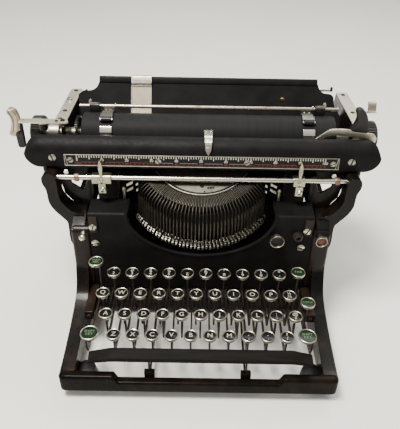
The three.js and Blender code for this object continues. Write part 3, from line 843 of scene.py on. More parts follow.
def type_basket():
    """Type bars with their slugs, the comb that holds them, its centre plate and the bar rest."""
    heels, bars, slugs, faces, fins = (bmesh.new() for _ in range(5))
    for k, angle in enumerate(bar_angles()):
        fan_blade(heels, [(54, 2), (70, 3.2), (76.4, -1), (78, -12), (80.6, -12), (79.2, 0.6),
                          (77.4, 2.8), (70.6, 6.2), (54, 4.6)], angle, 0.8)
        fan_blade(bars, [(77.8, -10), (81.2, -48), (83.8, -48), (80.4, -10)], angle, 1.0)
        lean = 1.1 * ((k * 7) % 5 - 2) / 2
        fan_blade(slugs, [(79.2, -46.5 + lean), (84.8, -46.8 + lean), (86, -55.6 + lean),
                          (79.4, -55.6 + lean)], angle, 2.3)
        for low in (-54.8, -51):
            fan_blade(faces, [(85.4, low + lean), (86.6, low + 0.4 + lean), (86.4, low + 2.4 + lean),
                              (85.2, low + 2.8 + lean)], angle, 1.8)
    first = -BAR_COUNT / 2
    for k in range(BAR_COUNT + 1):
        fan_blade(fins, [(54.4, 0), (69, 1), (69, 5.4), (66, 6.0), (56, 5.2)],
                  (first + k) * BAR_STEP, 0.6)
    round_edges(slugs, 0.4, 1)
    fan_piece("type_bars", bars, BAR_STEEL, replaces=("type_basket",))
    # The heels take the darker copy of the bar steel as painted shade; the bars below them keep the
    # lighter steel.
    fan_piece("type_bar_heels_shaded", heels, BAR_SHADED)
    fan_piece("type_slugs", slugs, FRAME_GREY)
    fan_piece("type_faces", faces, NICKEL_DULL)
    fan_piece("segment_fins", fins, FIN_STEEL)
    bm = bmesh.new()
    fan_ring(bm, [(53.5, -6), (67.6, -6), (68.4, 1.8), (53.5, 1.2)], math.radians(62))
    fan_ring(bm, [(48, -3), (53.6, -3), (53.6, 0.6), (48, 0.6)], math.radians(66))
    fan_piece("segment_body", bm, INNER_BLACK)
    bm = bmesh.new()
    fan_ring(bm, [(22, 1.2), (49.6, 1.2), (50.2, 1.8), (50.2, 2.6), (49.6, 3.1), (22, 3.1)],
             math.radians(72))
    fan_piece("segment_plate", bm, PLATE_GREY)
    bm = bmesh.new()
    for r, degrees, size in ((41.6, 0.6, 2.2), (44.4, 9, 1.3), (44.8, 12.4, 1.3), (45.2, 15.6, 1.3),
                             (48.6, 3.4, 0.9)):
        fan_disc(bm, r, degrees, 3.14, size)
    fan_piece("segment_holes", bm, INNER_BLACK)
    bm = bmesh.new()
    wire = [fan(53.2, 3.6, math.radians(a)) for a in range(-64, 65, 2)]
    sweep(bm, wire, circle(1.1, 10), up=(0, 0.3, 1))
    add("fulcrum_wire", bm, "frame", FRAME_GREY)
    bm = bmesh.new()
    # The ring under the slugs and the cone behind the bars are partly the bar rest and partly dark
    # sheets that stand in for painted shade inside the basket.
    fan_ring(bm, [(70, -57.5), (83, -57.5), (84.5, -60), (84.5, -62), (70, -60)], math.radians(72))
    fan_ring(bm, [(66, -8), (69, -8), (75, -60), (72, -60)], math.radians(72))
    fan_piece("bar_rest_and_shade", bm, INNER_BLACK)


def basket_sides():
    """Nickel guides of the ribbon and dark plates that close the basket at both ends."""
    dark, bright = bmesh.new(), bmesh.new()
    for side in (-1, 1):
        cheek = [(150, 96), (214, 96), (214, 150), (196, 172), (158, 172), (152, 150)]
        plate(dark, "x", [cheek], *mirrored(side, 88, 90.5), 0.6, 1)
        for near, far, low, rise in ((73.3, 80.4, 158.4, 3.6), (73.3, 80.4, 151, 4.4),
                                     (67.6, 70.4, 159, 1.6), (67.6, 70.4, 152, 1.6)):
            strip = [(near, low + rise), (far, low), (far, low + 3.2), (near, low + rise + 3.4)]
            plate(bright, "y", [strip if side > 0 else flipped(strip)], 149, 150.2, 0.3, 1)
        rod(bright, 1.6, 140, 155, (side * 83.5, 150, 0), "z", 16)
        lathe(bright, [(0, 154), (2, 154), (2.4, 155.4), (1.4, 157), (0, 157.4)],
              (side * 83.5, 150, 0), "z", 20)
    add("basket_cheeks", dark, "frame", INNER_BLACK)
    add("ribbon_guides", bright, "frame", FLANGE_NICKEL)


# ------------------------------------------------------------------ rail cover and scale


def rail_cover():
    """Long pressed cover with round ends, open behind, its screws and the valances under it."""
    profile = smooth([(165, 183), (149, 182), (145.6, 183.4), (145, 187), (145, 200), (146.3, 204.8),
                      (149.6, 209), (154.6, 212.2), (159.4, 213), (163, 211.4), (165.4, 208)], 3, False)
    bm = bmesh.new()
    left, right, middle, reach = COVER_LEFT, COVER_RIGHT, 197.5, 16.5
    ends = [reach * (1 - math.cos(math.radians(a))) for a in range(4, 91, 8)] + [reach]
    stations = [left + d for d in ends] + [-120 + 30 * i for i in range(9)]
    stations += [right - d for d in reversed(ends)]
    rings = []
    for x in stations:
        d = min(x - left, right - x, reach)
        size = math.sqrt(max(reach ** 2 - (reach - d) ** 2, 1)) / reach
        deep = 0.9 + 0.1 * size
        rings.append([bm.verts.new((x, 165 - (165 - y) * deep, middle + (z - middle) * size))
                      for y, z in profile])
    for r, s in zip(rings, rings[1:]):
        for k in range(len(r) - 1):
            bm.faces.new((r[k], r[k + 1], s[k + 1], s[k]))
    for ring in (rings[0], rings[-1]):
        bm.faces.new(ring)
    bmesh.ops.recalc_face_normals(bm, faces=bm.faces[:])
    made = add("rail_cover_shell", bm, "frame", WRINKLE, 50, replaces=("rail_cover",))
    shell = made.modifiers.new("thickness", "SOLIDIFY")
    shell.thickness, shell.offset = 1.5 * MM, -1
    screws("cover_screws", "cover_screw_slots", "frame", NICKEL_DULL, [
        (-153.3, 145, 194.6, 3.9, 1.3, 105), (153, 145, 194.6, 3.9, 1.3, 75)])
    bm = bmesh.new()
    for x in (-158, 121):
        slab(bm, x, x + 37, 158.4, 160, 162.5, 206, 0.5)
    add("cover_valances", bm, "frame", INNER_BLACK)


def letter_scale():
    """Strip with a tick for each tenth of an inch and a red count below, in a thin frame."""
    left, right, low, high = -140.6, 139.6, 186.3, 198.8
    bm = bmesh.new()
    slab(bm, left, right, 144.2, 145.4, low, high, 0.1, 1)
    add("scale_strip", bm, "frame", SCALE_BLACK)
    bm = bmesh.new()
    outer = [(left - 0.9, low - 0.3), (right + 0.9, low - 0.3), (right + 0.5, high + 0.3),
             (left - 0.5, high + 0.3)]
    inner = [(left + 0.1, low + 0.5), (right - 0.1, low + 0.5), (right - 0.4, high - 0.2),
             (left + 0.4, high - 0.2)]
    plate(bm, "y", [outer, inner], 143.7, 145.4, 0.2, 1)
    for x, side in ((left + 2.4, 1), (right - 2.4, -1)):
        slant = [(x - 0.4, low + 0.5), (x + 0.4, low + 0.5), (x + 0.4 - side * 1.6, high - 0.5),
                 (x - 0.4 - side * 1.6, high - 0.5)]
        plate(bm, "y", [slant], 144, 144.3)
    add("scale_frame", bm, "frame", FRAME_GREY)
    ticks, reds, greys, figures = (bmesh.new() for _ in range(4))

    def mark(bm, x0, x1, z0, z1):
        plate(bm, "y", [[(x0, z0), (x1, z0), (x1, z1), (x0, z1)]], 144.05, 144.3)

    for k in range(101):
        x = SCALE_ZERO + LETTER_PITCH * k
        mark(ticks, x - 0.5, x + 0.5, 198.2 - (4.2 if k % 5 == 0 else 2.5), 198.3)
        if k % 10 == 0:
            letters(figures, str(k), 4.0, (x, 144.1, 193), 90, 0.1, 0.1)
            letters(reds, str(100 - k), 3.6, (x, 144.1, 189.2), 90, 0.1, 0.12)
    for ten in range(10):
        start = SCALE_ZERO + 10 * LETTER_PITCH * ten
        first, last = start + 3.6, start + 10 * LETTER_PITCH - 3.6
        mark(greys if 3 <= ten <= 6 else reds, first, last, 190.2, 190.9)
        for k in range(5):
            x = first - 0.3 + (last - first) * k / 4
            mark(reds, x, x + 0.7, 187.5, 190.3)
        mark(reds, first, last, 187.3, 187.7)
    add("scale_ticks", ticks, "frame", WHITE)
    add("scale_red_marks", reds, "frame", SCALE_RED)
    add("scale_grey_marks", greys, "frame", SCALE_GREY)
    add("scale_figures", figures, "frame", CREAM)
    screws("scale_screws", "scale_screw_slots", "frame", NICKEL_DULL, [
        (x, 144.2, 192.6, 3.1, 1.0, turn)
        for x, turn in ((-135, 20), (-45, 130), (46, 25), (134.4, 20))])


def margin_rod():
    """Rod in front of the cover, with the collars and nuts at its ends."""
    bm = bmesh.new()
    rod(bm, ROD_R, -153, 153, (0, ROD_Y, ROD_Z), "x", 24)
    add("margin_rod", bm, "frame", NICKEL)
    bm = bmesh.new()
    for x in (-130.2, 141):
        lathe(bm, [(2.5, -2.4), (3.9, -2.4), (4.3, -1.8), (4.3, 1.8), (3.9, 2.4), (2.5, 2.4)],
              (x, ROD_Y, ROD_Z), "x", 24)
    add("rod_collars", bm, "frame", RUSTY_STEEL)
    bm = bmesh.new()
    for x in (-141, 137.4):
        rod(bm, 2.9, 143, 148.4, (x, 0, 178.6), "y", 6, 0.5)
    add("rod_nuts", bm, "frame", NICKEL_BRIGHT)


def margin_stop(name, x, width):
    """Sleeve on the rod with a clamp screw below and a thin pointer in front of the scale."""
    bm = bmesh.new()
    sleeve = [(ROD_Y - 5.4, ROD_Z - 4.6), (ROD_Y - 3.6, ROD_Z - 5.4), (ROD_Y + 4, ROD_Z - 5.4),
              (ROD_Y + 4.8, ROD_Z + 3), (ROD_Y + 2.6, ROD_Z + 4.8), (ROD_Y - 3.6, ROD_Z + 4.8),
              (ROD_Y - 5.4, ROD_Z + 3.2)]
    hole = [(ROD_Y + u, ROD_Z + v) for u, v in circle(ROD_R + 0.3, 20)]
    plate(bm, "x", [sleeve, hole], x - width / 2, x + width / 2, 0.6)
    slab(bm, x - 3.6, x + 4.4, 135.4, 141, 157.6, 169.6, 1.0)
    tip = [(-2.2, 168), (2.2, 168), (1.5, 181), (2.3, 186), (1.9, 192), (0, 197.4), (-1.9, 192),
           (-2.3, 186), (-1.5, 181)]
    plate(bm, "y", [[(x + u, v) for u, v in tip]], 137, 138, 0.3, 1)
    add(f"{name}_block", bm, name, STOP_NICKEL, replaces=(name,))
    screws(f"{name}_screws", f"{name}_slots", name, NICKEL_BRIGHT, [
        (x + 1.2, 135.4, 163, 2.9, 1.8, 50), (x - 0.6, 136.6, 172.5, 2.2, 1.0, 120)])


# ------------------------------------------------------------------ keys


def key_cap(name, body, x, y, z, radius, glass, text, size):
    """Nickel ring with a glass-topped disc and its letter."""
    bm = bmesh.new()
    lathe(bm, [(0, -4.6), (radius * 0.45, -4.6), (radius * 0.86, -4.0), (radius * 0.97, -2.6),
               (radius + 0.15, -0.5), (radius, 0.15), (radius - 0.45, 0.35), (radius - 1.0, 0.1),
               (radius - 1.15, -0.5), (0, -0.7)], (x, y, z), "z", 32)
    add(f"{name}_ring", bm, body, NICKEL_RING)
    bm = bmesh.new()
    inside = radius - 1.1
    lathe(bm, [(0, -0.6), (inside, -0.55), (inside, -0.25), (inside * 0.7, 0.0), (0, 0.12)],
          (x, y, z), "z", 32)
    add(f"{name}_glass", bm, body, glass)
    bm = bmesh.new()
    letters(bm, text, size, (x, y, z + 0.08))
    add(f"{name}_letter", bm, body, KEY_INK if glass is BLACK_GLASS else GREEN_INK)


def key_lever(name, body, y, z, stem_x):
    """Flat stem that bends into the long lever under the keys."""
    bm = bmesh.new()
    side = [(y - 1.9, z - 4.2), (y - 1.7, 52), (y - 1.2, 41), (y + 1.5, LEVER_LOW + 1.2),
            (y + 6, LEVER_LOW), (LEVER_BACK, LEVER_LOW), (LEVER_BACK, LEVER_HIGH),
            (y + 9, LEVER_HIGH), (y + 4, LEVER_HIGH + 2.5), (y + 2, LEVER_HIGH + 8),
            (y + 1.9, z - 4.2)]
    plate(bm, "x", [side], stem_x - 0.85, stem_x + 0.85, 0.25, 1)
    add(f"{name}_lever", bm, body, LEVER_STEEL, replaces=(body,))


# For each bank: its sideways shift in lever pitches, and its keys as (name, legend).
ROWS = [
    (3, [("z", "Z"), ("x", "X"), ("c", "C"), ("v", "V"), ("b", "B"), ("n", "N"), ("m", "M"),
         ("comma", ",\n,"), ("period", ".\n."), ("slash", "?\n/")]),
    (1, [("a", "A"), ("s", "S"), ("d", "D"), ("f", "F"), ("g", "G"), ("h", "H"), ("j", "J"),
         ("k", "K"), ("l", "L"), ("semicolon", ":\n;"), ("at", "@\n¢")]),
    (0, [("q", "Q"), ("w", "W"), ("e", "E"), ("r", "R"), ("t", "T"), ("y", "Y"), ("u", "U"),
         ("i", "I"), ("o", "O"), ("p", "P"), ("half", "¼\n½")]),
    (2, [("2", "\"\n2"), ("3", "#\n3"), ("4", "$\n4"), ("5", "%\n5"), ("6", "_\n6"), ("7", "&\n7"),
         ("8", "'\n8"), ("9", "(\n9"), ("0", ")\n0"), ("hyphen", "*\n-")]),
]


def keys():
    """The four banks of black keys, front bank first."""
    for bank, (shift, row) in enumerate(ROWS):
        for i, (name, text) in enumerate(row):
            x = FIRST_LEVER_X + shift * LEVER_PITCH + i * KEY_PITCH
            y, z = ROW_FRONT_Y + bank * ROW_STEP_Y, ROW_HEIGHTS[bank]
            size = 5.7 if "\n" in text else 7.4
            key_cap(f"key_{name}", f"key_{name}", x, y, z, 7, BLACK_GLASS, text, size)
            key_lever(f"key_{name}", f"key_{name}", y, z, x)


def side_keys():
    """Green keys: two shift keys on one rocker, the shift lock, margin release and tabulator."""
    for end, x in (("left", -108.3), ("right", 106.2)):
        key_cap(f"shift_{end}", "shift_keys", x, 28, 65, 9, GREEN_GLASS, "SHIFT\nKEY", 4.3)
    bm = bmesh.new()
    for stem in (-112.5, 112.5):
        side = [(26, 61), (26.3, 44), (29, 36.4), (34, 35), (285, 35), (289, 31), (306, 31),
                (306, 45), (289, 45), (284, 41), (38, 41), (32, 44), (30, 61)]
        part = bmesh.new()
        plate(part, "x", [side], stem - 0.9, stem + 0.9, 0.25, 1)
        hole = bmesh.new()
        rod(hole, 3.4, stem - 5, stem + 5, (0, SHAFT_Y, SHAFT_Z), "x", 20, 0)
        cut(part, hole)
        merge(bm, part)
    slab(bm, -113.4, 113.4, 302, 306, 35, 41, 0.5)
    add("shift_rocker", bm, "shift_keys", LEVER_STEEL, replaces=("shift_keys",))

    key_cap("shift_lock", "shift_lock_key", 108.7, 56, 83, 7.5, GREEN_GLASS, "LOCK", 4.0)
    bm = bmesh.new()
    side = [(54.2, 44), (104, 44), (104, 49), (60, 49), (58, 53), (57.8, 79), (54.2, 79)]
    plate(bm, "x", [side], 107.6, 109.4, 0.3, 1)
    add("shift_lock_arm", bm, "shift_lock_key", LEVER_STEEL, replaces=("shift_lock_key",))

    key_cap("margin_key", "margin_release_key", -107.2, 86, 107.6, 7.5, GREEN_GLASS, "MAR\nREL", 4.2)
    key_lever("margin_key", "margin_release_key", 86, 107.6, -104)
    key_cap("tab_key", "tabulator_key", 101, 84, 98.6, 7.5, GREEN_GLASS, "TAB", 4.4)
    key_lever("tab_key", "tabulator_key", 84, 98.6, 101)


def space_bar():
    """Wooden bar with drooping, bevelled ends on two arms that run back under the key levers."""
    bm = bmesh.new()
    stations = [(-108.4, 6.6), (-107.6, 5.4), (-103, 4.2), (-88, 0.4), (-84, 0), (-40, 0), (0, 0),
                (50, 0), (88, 0), (92, 0.4), (106, 4.2), (110.6, 5.4), (111.4, 6.6)]
    outlines = []
    for x, drop in stations:
        low = 46.6 - min(drop, 5.2) * 0.5
        outline = [(8, low), (6.6, low + 1.2), (6.5, 50.6 - drop * 0.75), (7.2, 52 - drop * 0.85),
                   (9, 52.8 - drop * 0.9), (16.2, 56 - drop), (17.4, 55.8 - drop), (17.8, 54.8 - drop),
                   (17.8, low + 1), (16.4, low)]
        outlines.append([(x, y, z) for y, z in outline])
    skin(bm, outlines)
    add("space_bar_wood", bm, "space_bar", WOOD, 24, replaces=("space_bar",))
    bm = bmesh.new()
    for x in SPACE_ARMS:
        side = [(12, 50), (12, 19), (13, 14.4), (17, 14), (152, 14), (155, 16.5), (152, 19.5),
                (17.5, 19.5), (15, 21), (15, 50)]
        plate(bm, "x", [side], x - 0.9, x + 0.9, 0.3, 1)
        slab(bm, x - 8, x + 8, 9, 16.5, 45.4, 47.4, 0.4)
        slab(bm, x - 5.2, x + 5.2, 10.4, 15.4, 17.5, 28, 0.8)
    add("space_bar_arms", bm, "space_bar", JAPAN)


def push_button(name, x, z, radius, cap):
    """Push button: a sunk coloured disc in a deep nickel ring on a short spindle."""
    bm = bmesh.new()
    lathe(bm, [(0, 108.1), (radius * 0.6, 108.2), (radius - 1.2, 108.6), (radius - 1.2, 109.8),
               (0, 109.8)], (x, 0, z), "y", 36)
    add(f"{name}_face", bm, name, cap,
        replaces=(name,))
    bm = bmesh.new()
    lathe(bm, [(radius - 1.3, 109), (radius - 1.2, 107.2), (radius - 0.8, 106.4), (radius - 0.3, 106.3),
               (radius, 107.0), (radius, 110), (radius - 1, 110.8), (2.2, 110.8), (2.2, 121),
               (0, 121)], (x, 0, z), "y", 36)
    add(f"{name}_ring", bm, name, NICKEL_RING)


# ------------------------------------------------------------------ carriage

TABLE_FOOT = Vector((0, 222, 184.5))
SLOPE = Vector((0, 35, 55.5)).normalized()
TABLE_FRONT = Vector((0, -SLOPE.z, SLOPE.y))
TABLE_LENGTH = 65.6


def on_table(u, w, proud=0.0):
    """A machine point on the leaning paper table: u along x, w up the slope."""
    return TABLE_FOOT + Vector((u, 0, 0)) + SLOPE * w + TABLE_FRONT * proud


def table_plate(bm, loop, low, high, edge=0.3):
    """A plate lying on the paper table; low and high count out from its face."""
    part = bmesh.new()
    plate(part, "z", [loop], low, high, edge, 1)
    rows = zip((1, 0, 0), SLOPE, TABLE_FRONT, TABLE_FOOT)
    turn = Matrix((*rows, (0, 0, 0, 1)))
    bmesh.ops.transform(part, matrix=turn, verts=part.verts[:])
    bmesh.ops.recalc_face_normals(part, faces=part.faces[:])
    merge(bm, part)


def paper_table():
    """Leaning sheet with scooped top corners and a raised hem, its paper guide with painted highlight
    strips, screw and pin.
    """
    bm = bmesh.new()
    top = TABLE_LENGTH
    left = smooth([(-143, 44.3), (-138, 48.2), (-134.6, 49.6), (-133.6, 51), (-132.4, 49),
                   (-127, 49.6), (-122, 53.2), (-119, 60.4), (-118.2, top)], 3, False)
    right = smooth([(131, top), (131.6, 60.4), (134, 54.2), (138.5, 50), (146, 49), (150, 45.6),
                    (151.2, 36), (157.6, 25), (159, 16)], 3, False)
    table_plate(bm, [(-143, 0), *left, *right, (159, 0)], -1.6, 0)
    table_plate(bm, [(-143, -1), (159, -1), (159, 3), (-143, 3)], -2.2, 0.4)
    slab(bm, -143, 159, 222, 224, 166, 186, 0.4)
    hem = [on_table(0, w, p) for w, p in (
        (57.4, -0.4), (57.8, 0.5), (59.4, 1.1), (62.6, 1.3), (64.8, 0.9), (top, -0.4), (64.4, -1.6),
        (58, -1.6))]
    plate(bm, "x", [[(p.y, p.z) for p in hem]], -119, 131.2, 0.3, 1)
    add("paper_table_sheet", bm, "carriage_frame", WRINKLE)
    bm = bmesh.new()
    path = [on_table(-70.6, w, p) for w, p in smooth([
        (top - 3, -2.6), (top + 0.5, -1.9), (top + 1.1, 0.2), (top + 0.2, 2.0), (top - 2, 2.6),
        (top - 8.4, 2.6), (top - 9.6, 1.6), (top - 11, 1.0), (40, 0.8), (26, 0.8), (10, 2),
        (2, 5)], 3, False)]
    sweep(bm, path, flat(11.4, 0.35), up=(0, -1, 0.6))
    add("paper_guide", bm, "carriage_frame", NICKEL_BEIGE)
    bm = bmesh.new()
    # Bright nickel clip over the hem, a thin bright line below it and one down the guide's left edge:
    # painted highlight where the guide's bend and edge catch the light.
    for x0, x1, w0, w1, low, high, edge in ((-82.2, -59, top - 9, top - 4.2, 2.4, 3.5, 0.5),
                                            (-82.2, -59, top - 12, top - 10.6, 1, 2.2, 0.4),
                                            (-82.6, -81.2, 22, top - 11, 0.6, 1.8, 0.3)):
        table_plate(bm, [(x0, w0), (x1, w0), (x1, w1), (x0, w1)], low, high, edge)
    add("paper_guide_highlights", bm, "carriage_frame", NICKEL_BRIGHT)
    bm = bmesh.new()
    screw(bm, 91, 243.2, 220.3, "y", 2.6, 1.0, 140)
    add("table_screw", bm, "carriage_frame", BRASS)
    bm = bmesh.new()
    rod(bm, 1.5, 132, 147.4, (0, 253.4, 228.4), "x", 16)
    add("table_pin", bm, "carriage_frame", NICKEL_BRIGHT)
    bm = bmesh.new()
    lathe(bm, [(0, 0), (1.6, 0), (2.2, 1.4), (1.6, 2.8), (0, 3.2)], (146.6, 253.4, 228.8), "x", 16)
    slab(bm, 146.8, 149.4, 252, 254.6, 228, 232.4, 0.6)
    add("table_pin_head", bm, "carriage_frame", INNER_BLACK)


def carriage_body():
    """Bed, end plates with their bright top flanges, and the bar across the front."""
    bm = bmesh.new()
    slab(bm, -147, 162, 222, 280, 160.4, 168, 1.2)
    add("carriage_bed", bm, "carriage_frame", JAPAN, replaces=("carriage_frame",))
    shaft = [(PLATEN_Y + u, PLATEN_Z + v) for u, v in circle(7, 24)]
    left = [(169.2, 204), (169.2, 217.5), (172, 219), (268, 219), (280, 188), (280, 162), (222, 162),
            (215, 173), (178, 176)]
    right = [(184, 217), (187, 219), (268, 219), (280, 188), (280, 162), (222, 162), (215, 173),
             (187, 182), (184, 190)]
    bm = bmesh.new()
    plate(bm, "x", [left, shaft], -147, -143, 1.0)
    plate(bm, "x", [right, shaft], 158, 162, 1.0)
    add("carriage_ends", bm, "carriage_frame", JAPAN)
    bm = bmesh.new()
    for loop in ([(-156, 176), (-143, 176), (-143, 268), (-156, 268)],
                 [(158.4, 182), (171.6, 182), (171.6, 270), (158.4, 270)]):
        plate(bm, "z", [loop], 217.4, 219.6, 0.5)
    add("carriage_flanges", bm, "carriage_frame", FLANGE_NICKEL)
    bm = bmesh.new()
    for x, y in ((-149.5, 262), (-150, 205), (-150.5, 184), (165, 262), (165, 212)):
        lathe(bm, [(0, 0.5), (2.3, 0.4), (2.6, 0), (2.6, -0.5), (0, -0.5)], (x, y, 219.7), "z", 20)
    add("flange_holes", bm, "carriage_frame", LEVER_STEEL)
    bm = bmesh.new()
    screw(bm, -151, 235, 219.4, "z", 3.4, 2.6, 20, 1)
    add("flange_screw", bm, "carriage_frame", NICKEL_BRIGHT)
    bm = bmesh.new()
    slab(bm, -143, 112, 169.2, 170.8, 205, 208, 0.4)
    slab(bm, -143.5, -140, 169.2, 176, 204.4, 208.6, 0.4)
    add("carriage_front_bar", bm, "carriage_frame", JAPAN)


def pointer():
    """Nickel finger that reaches over the cover to the scale."""
    bm = bmesh.new()
    slab(bm, 1.6, 10.4, 169.2, 171.4, 205, 215.6, 0.5)
    top = smooth([(171, 215.6), (162, 216.4), (153, 216.2), (147.4, 213), (144.4, 207.5)], 3, False)
    widths = [4.7 - 1.6 * i / (len(top) - 1) for i in range(len(top))]
    rungs = [[(POINTER_X - half, y, z), (POINTER_X + half, y, z)]
             for (y, z), half in zip(top, widths)]
    for r, s in zip(rungs, rungs[1:]):
        quad = [Vector(p) for p in (r[0], r[1], s[1], s[0])]
        part = bmesh.new()
        lower = [part.verts.new(p - Vector((0, -0.5, 0.7))) for p in quad]
        upper = [part.verts.new(p) for p in quad]
        part.faces.new(upper)
        part.faces.new(list(reversed(lower)))
        for i in range(4):
            k = (i + 1) % 4
            part.faces.new((upper[k], upper[i], lower[i], lower[k]))
        merge(bm, part)
    bmesh.ops.recalc_face_normals(bm, faces=bm.faces[:])
    for x in (3.6, 8.4):
        lathe(bm, [(0, 1), (1, 0.8), (1.3, 0.2), (1.3, -0.3), (0, -0.3)], (x, 165, 216.3), "z", 16)
    add("pointer_finger", bm, "carriage_frame", NICKEL_BRIGHT)
    bm = bmesh.new()
    tip = [(3.6, 209.6), (2.7, 207.4), (3.4, 205.2), (5.2, 201.2), (POINTER_X, 200.4),
           (6.8, 201.2), (8.6, 205.2), (9.3, 207.4), (8.4, 209.6)]
    plate(bm, "y", [tip], 143.2, 144.2, 0.3, 1)
    add("pointer_tip", bm, "carriage_frame", BAR_STEEL)


def knob(bm, x0, x1):
    """Ribbed knob between two x places, the second of them its outer face."""
    middle, radius = (PLATEN_Y, PLATEN_Z), KNOB_R
    side = 1 if x1 > x0 else -1
    outline = []
    for i in range(KNOB_RIBS * 4):
        a = 2 * math.pi * i / (KNOB_RIBS * 4)
        r = radius - 0.3 * (1 - math.cos(a * KNOB_RIBS))
        outline.append((middle[0] + r * math.cos(a), middle[1] + r * math.sin(a)))
    a, b = sorted((x0 + side * 2, x1 - side * 2))
    plate(bm, "x", [outline], a, b)
    lathe(bm, [(0, x0), (radius - 2.4, x0), (radius - 0.6, x0 + side * 1.2),
               (radius - 0.5, x0 + side * 2.2), (0, x0 + side * 2.2)], (0, *middle), "x", 48)
    lathe(bm, [(0, x1 - side * 2.2), (radius - 0.5, x1 - side * 2.2), (radius - 0.6, x1 - side * 1.2),
               (radius - 2.6, x1), (radius * 0.55, x1), (radius * 0.45, x1 - side * 0.8),
               (0, x1 - side * 0.8)], (0, *middle), "x", 48)


def platen():
    """Rubber roller with its axle, ribbed knobs and line-space ratchet."""
    bm = bmesh.new()
    origin = (0, PLATEN_Y, PLATEN_Z)
    left, right, r = -128.5, 141.5, PLATEN_R
    lathe(bm, [(14, left + 1), (r - 1.6, left), (r - 0.4, left + 0.5), (r, left + 1.8),
               (r, right - 1.8), (r - 0.4, right - 0.5), (r - 1.6, right), (14, right - 1)],
          origin, "x", 96)
    add("platen_roller", bm, "platen", PLATEN_RUBBER, replaces=("platen",))
    bm = bmesh.new()
    rod(bm, 6, -178, 184, origin, "x", 28)
    rod(bm, 15, left + 0.4, right - 0.4, origin, "x", 40)
    lathe(bm, [(5, -166), (9.6, -166), (10, -165.4), (10, -155.6), (9.6, -155), (5, -155)],
          origin, "x", 36)
    add("platen_axle", bm, "platen", NICKEL_DULL)
    bm = bmesh.new()
    knob(bm, -170, -184)
    knob(bm, 174.6, 187)
    add("platen_knobs", bm, "platen", HARD_RUBBER)
    bm = bmesh.new()
    for k in range(48):
        a = 2 * math.pi * k / 48
        c, s = math.cos(a), math.sin(a)
        tooth = [(PLATEN_Y + u * c - v * s, PLATEN_Z + u * s + v * c)
                 for u, v in ((14, -0.8), (18.2, -0.3), (18.2, 0.3), (14, 0.8))]
        plate(bm, "x", [tooth], -136, -133)
    rod(bm, 14.6, -136, -133, origin, "x", 40)
    add("line_ratchet", bm, "platen", DARK_STEEL)


def wrap(inner, outer, start, end, steps):
    """The (y, z) outline of a strip round the platen, between two gaps off its face."""
    return (arc(PLATEN_Y, PLATEN_Z, PLATEN_R + outer, start, end, steps)
            + arc(PLATEN_Y, PLATEN_Z, PLATEN_R + inner, end, start, steps))


def feed_works():
    """Feed rollers with their shafts, and the curved apron under the platen."""
    bm = bmesh.new()
    for y, z in ((176, 178), (207, 174.5)):
        rod(bm, 1.8, -140, 156, (0, y, z), "x", 16)
    add("feed_shafts", bm, "carriage_frame", NICKEL_DULL)
    bm = bmesh.new()
    plate(bm, "x", [wrap(2.2, 3.2, 200, 325, 20)], -124, 137)
    add("feed_apron", bm, "carriage_frame", INNER_BLACK)
    bm = bmesh.new()
    for x in (-90, -30, 30, 90):
        rod(bm, 4.2, x - 12, x + 12, (0, 172.2, 183.8), "x", 20)
    add("feed_rollers", bm, "carriage_frame", HARD_RUBBER)


def paper_bail():
    """Rod over the platen with two hooked end blocks and two sprung roller fingers, whose bright bands
    are painted highlight.
    """
    bm = bmesh.new()
    rod(bm, 2.0, -134, 148, (0, BAIL_Y, BAIL_Z), "x", 24)
    add("bail_rod", bm, "paper_bail", NICKEL_RUSTY, replaces=("paper_bail",))
    lit_bands, clips, rollers, ends, hooks = (bmesh.new() for _ in range(5))
    for x in (-101.8, 111.8):
        # Each finger strip's lower part is a thicker band in bright nickel, a painted highlight on the
        # same strip as the grey clip above it; the small pin beside it shares this piece.
        plate(lit_bands, "x", [wrap(1.0, 2.6, 137, 154, 8)], x - 6.3, x + 6.3, 0.5, 2)
        plate(clips, "x", [wrap(0.8, 1.5, 152, 176, 8)], x - 5.8, x + 5.8, 0.2, 1)
        angle = math.radians(119)
        axle = (PLATEN_Y + (PLATEN_R + 2.9) * math.cos(angle),
                PLATEN_Z + (PLATEN_R + 2.9) * math.sin(angle))
        rod(rollers, 2.4, x - 5.2, x + 5.2, (0, *axle), "x", 24)
        plate(clips, "x", [wrap(1.9, 2.8, 60, 110, 10)], x - 5.8, x + 5.8, 0.2, 1)
        slab(clips, x - 5.8, x + 5.8, 205.2, 209, 220.6, 223.6, 0.4)
        arm = wrap(1.8, 3.6, 98, 123, 6)
        for place in (x - 6.4, x + 5.6):
            plate(clips, "x", [arm], place, place + 0.8, 0.15, 1)
            rod(hooks, 1.2, place - 0.4, place + 1.2, (0, *axle), "x", 16, 0.3)
        for place in (x - 2.6, x + 2.6):
            lathe(hooks, [(0, 1.2), (0.9, 1), (1.2, 0.2), (1.2, -0.6), (0, -0.6)],
                  (place, 199.6, 223.4), "z", 16)
        rod(lit_bands, 0.7, 225, 228.6, (x + 7.2, 206.4, 0), "z", 12, 0.2)
    for x in (-117, 126.8):
        side = -1 if x < 0 else 1
        plate(ends, "x", [[(202.6, 217.6), (210, 219), (211, 227), (208.8, 228.6), (203.6, 228.2),
                           (202.4, 226)]], x - 5.4, x + 5.4, 0.8)
        path = [(x + side * u, 204, v) for u, v in smooth(
            [(-3.4, 228.6), (0.6, 228.9), (3.6, 229), (4.6, 230.2), (4.2, 232), (2.8, 233.4)], 3, False)]
        sweep(hooks, path, flat(1.2, 0.35), up=(0, 1, 0))
        slope = [(x + side * u, 203.4, v) for u, v in ((4.3, 229), (5.2, 226.8), (5.6, 225.4))]
        sweep(hooks, slope, flat(0.5, 0.35), up=(0, 1, 0))
    add("bail_lit_bands", lit_bands, "paper_bail", NICKEL_BRIGHT)
    add("bail_clips", clips, "paper_bail", CLIP_GREY)
    add("bail_rollers", rollers, "paper_bail", HARD_RUBBER)
    add("bail_ends", ends, "paper_bail", DARK_STEEL)
    add("bail_hooks", hooks, "paper_bail", NICKEL)


